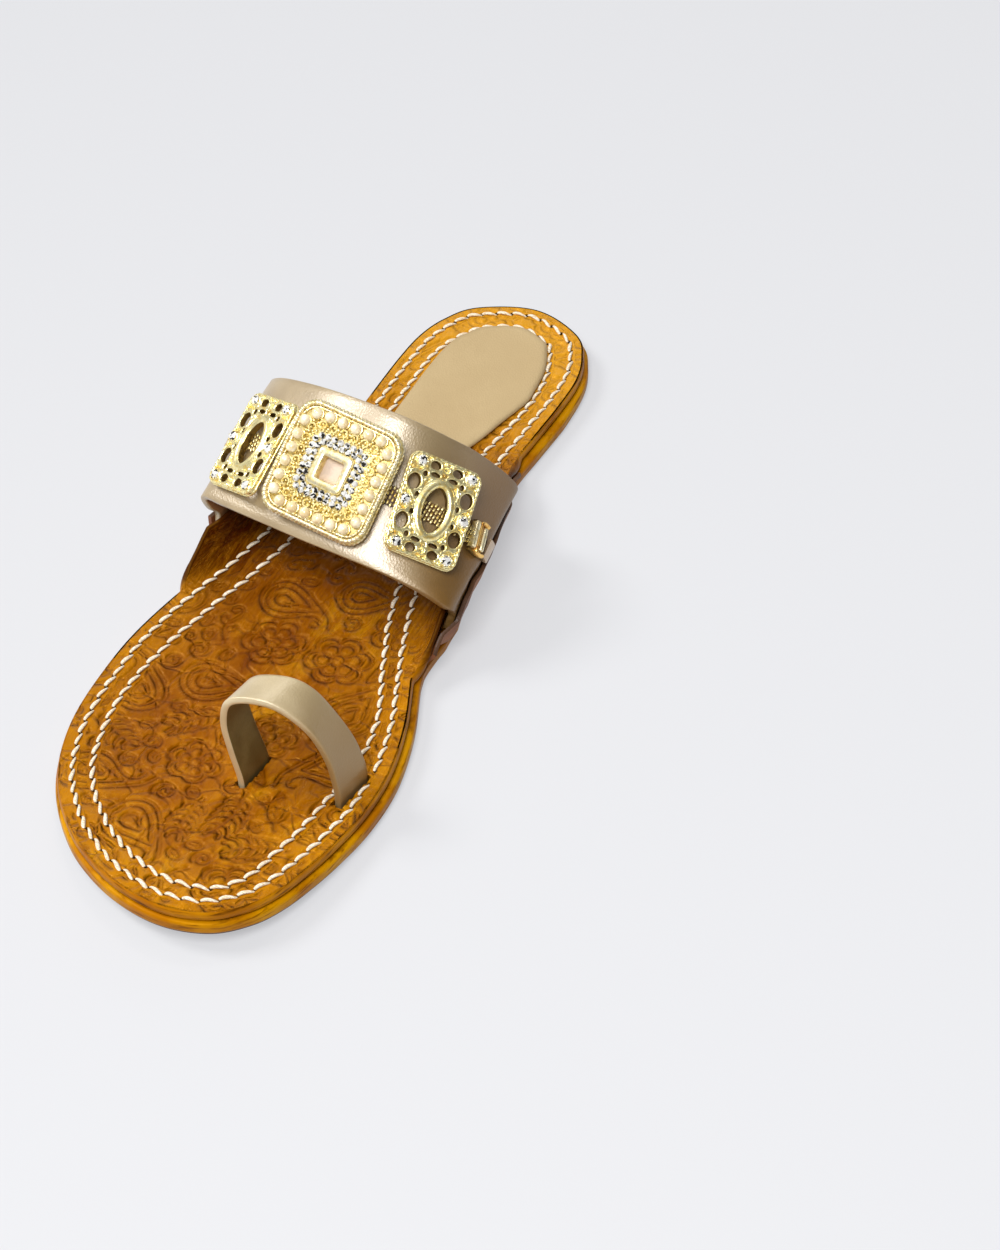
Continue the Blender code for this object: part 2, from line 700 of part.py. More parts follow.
def frame_solid(name, frame, rings, material):
    """Closed ring-shaped solid through outlines of equal point count, the last joined to the first."""
    vertices = [on_seat(frame, x, y, z) for outline, z in rings for x, y in outline]
    count = len(rings[0][0])
    faces = []
    for level in range(len(rings)):
        above = (level + 1) % len(rings)
        for k in range(count):
            following = (k + 1) % count
            faces.append((level * count + k, level * count + following,
                          above * count + following, above * count + k))
    return make_object(name, vertices, faces, material)


def build_centre_plaque(material):
    rings = [(rounded_square(half, half, radius), height) for half, radius, height in CENTRE_STEPS]
    return frame_solid("plaque_centre", seat("plaque_centre", PLAQUE_LIFT), rings, material)


def side_outline(inset):
    return rounded_square(SIDE_WIDTH / 2 - inset, SIDE_LENGTH / 2 - inset, 2.8 - inset)


def collar_outline(out):
    return pointed_oval(OVAL_WIDTH / 2 + out, OVAL_LENGTH / 2 + out)


def build_hole_cutter(name, frame, x, y, radius, material):
    """Round peg through a plaque, standing on its seat."""
    count = 10
    angles = [2 * math.pi * k / count for k in range(count)]
    vertices = [on_seat(frame, x + radius * math.cos(angle), y + radius * math.sin(angle), z)
                for z in (-1.0, 4.0) for angle in angles]
    faces = [tuple(range(count)), tuple(range(count, 2 * count))]
    faces += [(k, (k + 1) % count, count + (k + 1) % count, count + k) for k in range(count)]
    cutter = make_object(name, vertices, faces, material)
    cutter.hide_render = True
    cutter.display_type = "WIRE"
    return cutter


def build_side_plaque(name, material):
    frame = seat(name, PLAQUE_LIFT)
    top = SIDE_THICKNESS
    rings = [(side_outline(0.4), 0.0), (side_outline(0.0), 0.4), (side_outline(0.0), top - 0.4),
             (side_outline(0.4), top), (collar_outline(COLLAR_WIDTH), top),
             (collar_outline(COLLAR_WIDTH - 0.6), COLLAR_HEIGHT), (collar_outline(0.4), COLLAR_HEIGHT),
             (collar_outline(0.0), COLLAR_HEIGHT - 0.5), (collar_outline(0.0), 0.0)]
    plaque = frame_solid(name, frame, rings, material)
    for k, (x, y, radius) in enumerate(PIERCED_HOLES):
        cutter = build_hole_cutter(f"{name}_cutter_{k + 1}", frame, x, y, radius, material)
        cut = plaque.modifiers.new(f"hole {k + 1}", "BOOLEAN")
        cut.operation = "DIFFERENCE"
        cut.object = cutter
    plaque.data.shade_flat()
    return plaque


def build_strip(name, span, place, width, lift, thickness, steps, material):
    """Flat strip lying on the band between two places across the foot."""
    sections = []
    for u in np.linspace(*span, steps + 1):
        ahead, behind = band_point(u, min(place + 0.1, 1)), band_point(u, place - 0.1)
        along = unit(ahead - behind)
        low, high = band_point(u, place, lift), band_point(u, place, lift + thickness)
        half = along * width / 2
        sections.append([low - half, low + half, high + half, high - half])
    return loft_solid(name, sections, material)


def build_slide(name, material):
    frame = seat(name, CHAIN_LIFT + CHAIN_THICKNESS + 0.5)
    sections = []
    for y in (-SLIDE_LENGTH / 2, -SLIDE_LENGTH / 2 + 0.6, SLIDE_LENGTH / 2 - 0.6, SLIDE_LENGTH / 2):
        shrink = 0.75 if abs(y) == SLIDE_LENGTH / 2 else 1.0
        sections.append([on_seat(frame, x, y, z * shrink) for x, z in SLIDE_SECTION])
    return slide_solid(name, sections, material)


def slide_solid(name, sections, material):
    count = len(sections[0])
    vertices = [point for section in sections for point in section]
    faces = []
    for level in range(len(sections) - 1):
        for k in range(count):
            following = (k + 1) % count
            faces.append((level * count + k, level * count + following,
                          (level + 1) * count + following, (level + 1) * count + k))
    faces += [tuple(range(count)), tuple(range(len(vertices) - count, len(vertices)))]
    return make_object(name, vertices, faces, material)


# ---- build ----

def main():
    for piece in list(bpy.data.objects):
        bpy.data.objects.remove(piece, do_unlink=True)
    edge_leather = make_material("dyed_edge_leather", (0.50, 0.30, 0.02), 0.55)
    tan_leather = make_material("embossed_tan_leather", (0.35, 0.14, 0.015), 0.45)
    raw_leather = make_material("natural_leather", (0.58, 0.36, 0.24), 0.7)
    champagne = make_material("champagne_leather", (0.50, 0.42, 0.28), 0.4, 0.3)
    sock = make_material("heel_sock", (0.60, 0.47, 0.28), 0.5)
    gold = make_material("pale_gold", (0.80, 0.68, 0.36), 0.3, 0.9)
    build_outsole(edge_leather)
    top_sole = build_top_sole(tan_leather)
    build_loop_slits(top_sole)
    for side in ("lateral", "medial"):
        build_outer_ear(side, raw_leather)
    build_band(champagne)
    build_toe_loop(champagne)
    build_heel_pad(sock)
    build_strip("chain_strip", CHAIN_SPAN, CHAIN_PLACE, CHAIN_WIDTH, CHAIN_LIFT, CHAIN_THICKNESS, 40, gold)
    build_centre_plaque(gold)
    build_slide("slide_medial", gold)
    for side in ("lateral", "medial"):
        build_side_plaque("plaque_" + side, gold)
        build_strip("tab_" + side, TAB_SPANS[side], CHAIN_PLACE, TAB_WIDTH, CHAIN_LIFT,
                    TAB_THICKNESS, 14, champagne)


main()
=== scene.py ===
"""Kolhapuri chappal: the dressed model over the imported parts.

Lengths are in millimetres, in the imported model's frame shifted by ORIGIN, until a mesh is made.
The toe points to -Y, the heel to +Y, the outer (lateral) side to -X. The sole rests on Z = 0.
"""
import math

import bmesh
import bpy
import numpy as np
from mathutils import Matrix, Vector
from mathutils.kdtree import KDTree


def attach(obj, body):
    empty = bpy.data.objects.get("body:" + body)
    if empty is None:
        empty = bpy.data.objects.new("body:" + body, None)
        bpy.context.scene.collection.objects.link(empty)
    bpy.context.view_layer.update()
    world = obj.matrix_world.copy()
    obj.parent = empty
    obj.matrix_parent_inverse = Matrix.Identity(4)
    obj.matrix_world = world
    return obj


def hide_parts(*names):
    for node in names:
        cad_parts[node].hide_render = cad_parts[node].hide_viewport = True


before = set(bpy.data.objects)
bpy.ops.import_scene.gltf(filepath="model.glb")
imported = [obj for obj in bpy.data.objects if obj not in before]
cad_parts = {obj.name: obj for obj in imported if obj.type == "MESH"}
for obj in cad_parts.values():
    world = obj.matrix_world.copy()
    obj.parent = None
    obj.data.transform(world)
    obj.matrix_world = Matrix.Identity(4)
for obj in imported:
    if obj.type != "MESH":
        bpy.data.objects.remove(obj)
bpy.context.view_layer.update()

MM = 0.001
ORIGIN = np.array([0.20, 0.85, 0.0])

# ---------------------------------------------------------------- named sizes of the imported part

OUTSOLE_THICKNESS = 4.0
TOP_SOLE_THICKNESS = 3.0
CLEARANCE = 0.3
TOP_LEVEL = OUTSOLE_THICKNESS + CLEARANCE + TOP_SOLE_THICKNESS
TOE_SPRING, TOE_SPRING_START = 5.0, -53.0
WAIST_LIFT, WAIST_CENTRE, WAIST_HALF_LENGTH = 1.2, 22.0, 48.0
STITCH_MARGIN = 3.8

SIDES = ("lateral", "medial")
# Outer stitch row: place along the foot, then the reach to the lateral and the medial side
ROW_SECTIONS = [
    (-118.0, -0.3, 22.0), (-112.0, -11.8, 28.3), (-105.0, -20.1, 31.8), (-96.0, -27.6, 34.3),
    (-86.0, -32.8, 36.3), (-74.0, -36.3, 37.8), (-60.0, -37.7, 37.4), (-44.0, -37.5, 34.0),
    (-26.0, -34.6, 27.5), (-8.0, -29.9, 21.7), (10.0, -26.4, 18.3), (30.0, -24.4, 16.9),
    (50.0, -24.1, 17.2), (70.0, -24.4, 18.7), (88.0, -24.3, 19.9), (100.0, -23.3, 19.8),
    (109.0, -20.3, 17.4), (116.4, -14.6, 12.7),
]
TOE_TIP = (11.8, -120.4)
HEEL_TIP = (-0.4, 121.6)
SIDE_SEGMENTS = 460

# Ear flaps: share of the full height, their full section, and how far the rim leans out
EAR_SHARE = {
    "lateral": [(-24.5, 0.0), (-22, 0.16), (-19, 0.37), (-15, 0.56), (-12, 0.73), (-9.5, 0.9),
                (-6.5, 1.0), (26, 1.0), (40, 0.80), (50, 0.46), (58, 0.16), (66, 0.0)],
    "medial": [(-29, 0.0), (-24, 0.16), (-19, 0.48), (-13, 0.80), (-5, 1.0), (20, 1.0),
               (33, 0.80), (43, 0.60), (50, 0.42), (57, 0.14), (64, 0.0)],
}
INNER_EAR = {
    "lateral": [(0, 0), (1.8, 0.0), (3.4, 0.7), (4.6, 2.6), (5.1, 6.0), (5.0, 10.5)],
    "medial": [(0, 0), (3.2, 0.05), (6.2, 0.7), (8.6, 2.4), (10.4, 5.6), (11.6, 10.0)],
}
INNER_EAR_THICKNESS = 1.3
INNER_EAR_LEAN = {
    "lateral": [(-24.5, 0.0), (-22, 0.4), (-19, 0.8), (-15, 1.5), (-12, 1.9), (-9.5, 1.8),
                (-8, 0.9), (-6.8, 0.2), (-6, 0.0)],
    "medial": [(-30, 0.0), (-25, 0.7), (-20, 0.2), (-17, -0.3), (-13.5, -1.1), (-7, -1.3), (0, -0.9),
               (5, 0.2), (14, 0.4), (23, -0.3), (30, -0.6), (40, -0.6), (50, 0.0)],
}
# How far the outsole stands out past the stitch margin, and how much farther under the full ears
OUTSOLE_PROUD = {
    "lateral": [(-120, 0.7), (-90, 0.7), (-50, 1.1), (80, 1.0), (100, 1.1), (112, 1.7)],
    "medial": [(-120, 0.7), (-95, 1.1), (-60, 1.6), (50, 1.8), (85, 2.1), (98, 1.5), (112, 1.2)],
}
OUTSOLE_EAR_REACH = {"lateral": 4.2, "medial": 6.6}
# Outer flaps: where they run along the foot, and how far up the inner ears they reach
OUTER_EAR_SPAN = {"lateral": (-5.6, 60.5), "medial": (-22.0, 58.0)}
OUTER_EAR_TOP = {"lateral": 0.90, "medial": 0.95}
OUTER_EAR_THICKNESS = 1.1
# Where the band passes between the ears: 1 where it does
BAND_PASSES = {
    "lateral": [(-5.6, 1.0), (43, 1.0), (48, 0.0)],
    "medial": [(-17.8, 0.0), (-13.9, 1.0), (37, 1.0), (45, 0.0)],
}

# Folds of the band: x, y and z of its front edge, then of its rear edge
BAND_FOLDS = np.array([
    (-38.9, -4.6, 13.0, -34.5, 41.0, 16.0), (-39.9, -5.7, 16.8, -37.0, 34.4, 25.0),
    (-38.4, -6.6, 19.4, -36.0, 28.5, 32.7), (-32.8, -8.9, 20.8, -30.0, 24.1, 38.8),
    (-25.0, -11.4, 22.2, -19.6, 19.6, 43.7), (-15.4, -13.8, 23.4, -8.5, 16.0, 46.9),
    (-4.9, -15.6, 23.8, 3.5, 14.2, 47.6), (6.8, -16.4, 23.3, 12.8, 14.9, 45.7),
    (17.9, -16.1, 21.6, 20.8, 18.6, 40.2), (28.3, -14.7, 17.8, 27.5, 25.8, 30.4),
    (35.4, -12.9, 13.0, 33.2, 34.9, 15.0),
])
BAND_THICKNESS = 2.0
BAND_CAMBER = 0.8
BAND_SEGMENTS, BAND_ROWS = 176, 25
# Share of the way across where the camber sets in and is full
CAMBER_FADE = (5 / 44, 11 / 44)
# Between the ears: how far the band's outer face lies off the inner ear, and its places up the ear
SLOT_OFFSET = 4.0
SLOT_STEPS = (0.70, 0.85, 0.98)

# Folds of the toe loop: x and z of its front edge, then of its rear edge
LOOP_FOLDS = np.array([
    (8.9, -2.6, 10.0, -2.6), (8.8, 2.0, 9.8, 2.0), (7.0, 11.0, 7.4, 11.0), (5.8, 20.0, 5.8, 20.0),
    (7.2, 27.6, 7.4, 25.4), (11.4, 30.6, 11.4, 28.8), (18.0, 31.0, 19.0, 29.9), (24.0, 28.4, 24.8, 27.2),
    (29.4, 23.2, 30.0, 20.4), (33.2, 14.6, 33.9, 13.4), (34.8, 5.5, 36.2, 6.0), (35.1, 2.0, 36.7, 2.0),
    (35.1, -2.6, 36.8, -2.6),
])
LOOP_FRONT_Y = (-78.8, -75.0)
LOOP_REAR_Y = (-68.0, -63.8)
LOOP_THICKNESS = 1.8
LOOP_SEGMENTS, LOOP_ROWS = 110, 13
LOOP_SLIT_MARGIN = 0.35

PAD_THICKNESS = 1.2
PAD_INSET = {"lateral": 6.6, "medial": 5.1}
PAD_FRONT = 22.0
PAD_MEDIAL_CUT = [(-3.0, 22.0), (0.5, 40.0), (8.0, 59.0), (11.7, 73.0)]

# Chain and tabs: places across the band run from 0 (lateral) to 1 (medial)
CHAIN_WIDTH = 5.5
CHAIN_LIFT = 0.4
CHAIN_SPAN = (0.245, 0.855)
CHAIN_PLACE = 0.48
TAB_WIDTH = 6.6
TAB_THICKNESS = 1.1
TAB_SPANS = {"lateral": (0.085, 0.235), "medial": (0.902, 0.926)}
PLAQUE_LIFT = 2.0
# Seats on the band: places across and along, then spin, roll and pitch in degrees
SEATS = {
    "plaque_lateral": (0.316, 0.455, -1.0, 6.0, 0.0),
    "plaque_centre": (0.525, 0.480, -2.8, -3.0, 3.0),
    "plaque_medial": (0.733, 0.480, 1.4, 4.0, 2.0),
    "slide_medial": (0.866, 0.490, 0.0, 0.0, 0.0),
}


# ---------------------------------------------------------------- the part's own curves, drawn finer

def unit(vector):
    return vector / np.linalg.norm(vector)


def units(vectors):
    """Each of a grid of vectors at length 1."""
    return vectors / np.linalg.norm(vectors, axis=-1, keepdims=True)


def smooth_curve(points, steps):
    """Catmull-Rom curve through the points, with the given steps between neighbours."""
    points = np.asarray(points, float)
    padded = np.vstack([2 * points[0] - points[1], points, 2 * points[-1] - points[-2]])
    curve = []
    for k in range(len(points) - 1):
        a, b, c, d = padded[k:k + 4]
        for t in np.arange(steps) / steps:
            curve.append(0.5 * (2 * b + (c - a) * t + (2 * a - 5 * b + 4 * c - d) * t ** 2
                                + (3 * b - a - 3 * c + d) * t ** 3))
    return np.array(curve + [points[-1]])


def step_lengths(curve):
    return np.linalg.norm(np.diff(curve, axis=0), axis=1)


def even_steps(curve, count):
    """The curve cut into count equal steps of length."""
    run = np.concatenate([[0.0], np.cumsum(step_lengths(curve))])
    stops = np.linspace(0.0, run[-1], count + 1)
    return np.stack([np.interp(stops, run, column) for column in curve.T], axis=1)


def rise(y):
    """Height that the toe spring and the waist add to every layer at a place along the foot."""
    toe = np.maximum(0.0, (TOE_SPRING_START - y) / (TOE_SPRING_START - TOE_TIP[1]))
    waist = np.maximum(0.0, 1.0 - np.abs(y - WAIST_CENTRE) / WAIST_HALF_LENGTH)
    return TOE_SPRING * toe ** 2 + WAIST_LIFT * waist ** 2 * (3 - 2 * waist)


def stitch_row():
    """Closed ring of the outer stitch row: toe tip, medial side, heel tip, lateral side."""
    medial, lateral = ([TOE_TIP, *((row[column], row[0]) for row in ROW_SECTIONS), HEEL_TIP]
                       for column in (2, 1))
    steps = 24
    halves = []
    for side, other in ((medial, lateral), (lateral, medial)):
        curve = smooth_curve([other[1], *side, other[-2]], steps)[steps:-steps]
        halves.append(even_steps(curve, SIDE_SEGMENTS))
    return np.vstack([halves[0], halves[1][-2:0:-1]])


def ring_normals(ring):
    """Outward direction at each point of a closed ring."""
    along = np.roll(ring, -1, axis=0) - np.roll(ring, 1, axis=0)
    return units(np.stack([along[:, 1], -along[:, 0]], axis=1))


ROW = stitch_row()
ROW_NORMALS = ring_normals(ROW)
PLACES = [("medial" if k <= SIDE_SEGMENTS else "lateral", y) for k, y in enumerate(ROW[:, 1])]


def at_place(table, y):
    """Value of a table of (place along the foot, value) rows at the place y."""
    return float(np.interp(y, *zip(*table)))


def ear_share(side, y):
    return at_place(EAR_SHARE[side], y)


def row_frame(side, y):
    """Point and outward direction of the stitch row on one side, at a place along the foot."""
    if side == "medial":
        chain = np.arange(0, SIDE_SEGMENTS + 1)
    else:
        chain = np.arange(2 * SIDE_SEGMENTS - 1, SIDE_SEGMENTS - 1, -1)
    x, normal_x, normal_y = (np.interp(y, ROW[chain, 1], column[chain])
                             for column in (ROW[:, 0], ROW_NORMALS[:, 0], ROW_NORMALS[:, 1]))
    return np.array([x, y]), unit(np.array([normal_x, normal_y]))


def inner_face(side, y):
    """Section of the top sole's upper face outside the stitch row, flat or turned up into an ear."""
    share = ear_share(side, y)
    places = np.linspace(0, 1, len(INNER_EAR[side]))
    flat = np.stack([STITCH_MARGIN * places, 0 * places], axis=1)
    folded = (1 - share) * flat + share * np.array(INNER_EAR[side], float)
    folded[:, 0] += at_place(INNER_EAR_LEAN[side], y) * places ** 2
    return smooth_curve(folded, 4)


def ear_thickness(share):
    """Thickness of the top sole's leather where it turns up, thinned towards the ear."""
    return TOP_SOLE_THICKNESS + (INNER_EAR_THICKNESS - TOP_SOLE_THICKNESS) * min(1.0, share / 0.4)


def section_point(section, t, offset=0.0):
    """Point at t (0 to 1) of a section, moved off it by offset, outward and down."""
    place = t * (len(section) - 1)
    k = min(int(place), len(section) - 2)
    along = unit(section[min(k + 2, len(section) - 1)] - section[max(k - 1, 0)])
    point = section[k] + (section[k + 1] - section[k]) * (place - k)
    return point + offset * np.array([along[1], -along[0]])


def lift_out(point, normal, step):
    """World point of a section's step (outward, up) at a row point."""
    flat = point + normal * step[0]
    return np.array([*flat, TOP_LEVEL + rise(point[1]) + step[1]])


def grid_normals(lines):
    """Outward normals of a grid of points, rows from front to rear, columns lateral to medial."""
    return units(np.cross(np.gradient(lines, axis=1), np.gradient(lines, axis=0)))


def slot_points(side, y):
    """Outer face of the band where it runs down between the ears."""
    section = inner_face(side, y)
    return [lift_out(*row_frame(side, y), section_point(section, t, SLOT_OFFSET)) for t in SLOT_STEPS]


def band_line(v):
    """The band's outer face from side to side, v from 0 at the front to 1 at the rear edge."""
    seen = (1 - v) * BAND_FOLDS[:, :3] + v * BAND_FOLDS[:, 3:] + (0, 0, TOP_LEVEL)
    lateral, medial = slot_points("lateral", seen[0, 1]), slot_points("medial", seen[-1, 1])
    return even_steps(smooth_curve(np.vstack([lateral, seen, medial[::-1]]), 14), BAND_SEGMENTS)


def band_grid():
    """Points and normals of the band's outer face, cambered except near its ends."""
    places = np.linspace(0, 1, BAND_ROWS)
    lines = np.array([band_line(v) for v in places])
    low, high = CAMBER_FADE
    fade = np.clip((np.linspace(0, 1, BAND_SEGMENTS + 1) - low) / (high - low), 0, 1)
    camber = BAND_CAMBER * 4 * np.outer(places * (1 - places), fade * fade[::-1])
    lines += grid_normals(lines) * camber[:, :, None]
    return lines, grid_normals(lines)


BAND_FACE, BAND_NORMALS = band_grid()


def band_point(u, v, lift=0.0):
    """World point on the band's outer face, u from lateral to medial, v from front to rear."""
    place = np.clip(u, 0, 1) * BAND_SEGMENTS
    row = np.clip(v, 0, 1) * (BAND_ROWS - 1)
    k, r = min(int(place), BAND_SEGMENTS - 1), min(int(row), BAND_ROWS - 2)
    s, q = place - k, row - r
    point, normal = ((1 - q) * ((1 - s) * grid[r, k] + s * grid[r, k + 1])
                     + q * ((1 - s) * grid[r + 1, k] + s * grid[r + 1, k + 1])
                     for grid in (BAND_FACE, BAND_NORMALS))
    return point + unit(normal) * lift


def loop_face():
    lines = []
    for v in np.linspace(0, 1, LOOP_ROWS):
        x, z = ((1 - v) * LOOP_FOLDS[:, :2] + v * LOOP_FOLDS[:, 2:]).T
        across = (x - x[0]) / (x[-1] - x[0])
        front, rear = (start + across * (end - start) for start, end in (LOOP_FRONT_Y, LOOP_REAR_Y))
        y = (1 - v) * front + v * rear
        line = smooth_curve(np.stack([x, y, z + TOP_LEVEL + rise(y)], axis=1), 16)
        lines.append(even_steps(line, LOOP_SEGMENTS))
    return np.array(lines)


LOOP_FACE = loop_face()
LOOP_NORMALS = grid_normals(LOOP_FACE)


def turned(first, second, degrees):
    """Two axes turned in their plane, the first towards the second."""
    c, s = math.cos(math.radians(degrees)), math.sin(math.radians(degrees))
    return first * c + second * s, second * c - first * s


def seat(name, lift):
    """Centre and axes (across the foot, towards the heel, off the band) of a piece on the band."""
    u, v, spin, roll, pitch = SEATS[name]
    across = unit(band_point(u + 0.03, v) - band_point(u - 0.03, v))
    along = unit(band_point(u, v + 0.2) - band_point(u, v - 0.2))
    normal = unit(np.cross(across, along))
    along = np.cross(normal, across)
    across, along = turned(across, along, spin)
    across, normal = turned(across, normal, roll)
    along, normal = turned(along, normal, pitch)
    return band_point(u, v, lift), across, along, normal


def on_seat(place, points):
    """World points of (across, along, up) points on a seat."""
    return place[0] + np.atleast_2d(np.asarray(points, float)) @ np.array(place[1:])


# ---------------------------------------------------------------- meshes

def add_piece(name, points, faces, materials, indices=None, slot=None, replaces=(), sharp=40, values=None):
    """One piece in metres: its faces' material indices, its soft edges and its values at each point."""
    mesh = bpy.data.meshes.new(name)
    points = (np.asarray(points, float) - ORIGIN) * MM
    mesh.from_pydata(points.tolist(), [], [tuple(map(int, face)) for face in faces])
    work = bmesh.new()
    work.from_mesh(mesh)
    bmesh.ops.recalc_face_normals(work, faces=work.faces)
    work.to_mesh(mesh)
    work.free()
    for material in materials:
        mesh.materials.append(material)
    if indices is not None:
        mesh.polygons.foreach_set("material_index", np.asarray(indices, np.int32))
    for key, value in (values or {}).items():
        mesh.attributes.new(key, "FLOAT", "POINT").data.foreach_set("value", np.asarray(value, np.float32))
    mesh.shade_smooth()
    mesh.set_sharp_from_angle(angle=math.radians(sharp))
    piece = bpy.data.objects.new(name, mesh)
    bpy.context.scene.collection.objects.link(piece)
    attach(piece, "root")
    if replaces:
        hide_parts(*replaces)


def grid_faces(rows, columns, start=0, joined=False, closed=True):
    """Quads over points stored row by row; each row is closed or not, and the last joins the first or not."""
    faces = []
    for r in range(rows if joined else rows - 1):
        low, high = start + r * columns, start + (r + 1) % rows * columns
        for k in range(columns if closed else columns - 1):
            after = (k + 1) % columns
            faces.append((low + k, low + after, high + after, high + k))
    return faces


def loft(rings, ends="capped"):
    """Points of the rings and the faces through them, with the ends capped, open or joined."""
    count = len(rings[0])
    faces = grid_faces(len(rings), count, joined=ends == "joined")
    if ends == "capped":
        faces += [tuple(range(count)), tuple(range((len(rings) - 1) * count, len(rings) * count))]
    return np.vstack(rings), faces


def round_angles(count, shift=0.0):
    return (np.arange(count) + shift) * 2 * math.pi / count


class Heap:
    """Gathers many small closed parts into one mesh."""

    def __init__(self):
        self.points, self.faces, self.indices, self.count = [], [], [], 0

    def add(self, points, faces, index=0):
        """Adds a part; index is its material's, or a list of one for each face."""
        self.points.append(points)
        self.faces += [tuple(self.count + k for k in face) for face in faces]
        self.indices += index if isinstance(index, list) else [index] * len(faces)
        self.count += len(points)

    def tube(self, path, radius, up, sides=8, index=0, closed=False, flat=1.0):
        """Tube along a path; radius is one number or one per point, flat squashes it along up."""
        path = np.asarray(path, float)
        if closed:
            along = units(np.roll(path, -1, axis=0) - np.roll(path, 1, axis=0))
        else:
            along = units(np.gradient(path, axis=0))
        aside = units(np.cross(along, up))
        angles = round_angles(sides)[:, None]
        ring = np.cos(angles) * aside[:, None] + flat * np.sin(angles) * np.cross(aside, along)[:, None]
        rings = path[:, None] + ring * np.broadcast_to(radius, len(path))[:, None, None]
        self.add(*loft(rings, "joined" if closed else "capped"), index)

    def strand(self, place, outline, height, radius, **options):
        """Tube along an outline at one height over a seat."""
        self.tube(on_seat(place, raised(outline, height)), radius, place[3], **options)

    def ball(self, place, middle, radius, rings=4, sides=6, index=0):
        """Ball round a point of a seat, its poles along the seat's normal."""
        polar = np.linspace(0, math.pi, rings + 1)[1:-1, None]
        turn = round_angles(sides)
        belts = np.stack([np.sin(polar) * np.cos(turn), np.sin(polar) * np.sin(turn),
                          np.cos(polar) + 0 * turn], axis=-1)
        points = np.vstack([(0, 0, 1), belts.reshape(-1, 3), (0, 0, -1)])
        last = len(points) - 1
        faces = grid_faces(rings - 1, sides, start=1)
        for k in range(sides):
            after = (k + 1) % sides
            faces += [(0, 1 + k, 1 + after), (last, last - sides + after, last - sides + k)]
        self.add(on_seat(place, np.array(middle) + radius * points), faces, index)

    def piece(self, name, materials, **options):
        add_piece(name, np.vstack(self.points), self.faces, materials, self.indices, **options)


# ---------------------------------------------------------------- materials

def rgb(red, green, blue):
    """Linear colour from display values of 0 to 255."""
    return tuple(v / 12.92 if v <= 0.04045 else ((v + 0.055) / 1.055) ** 2.4
                 for v in (red / 255, green / 255, blue / 255)) + (1.0,)


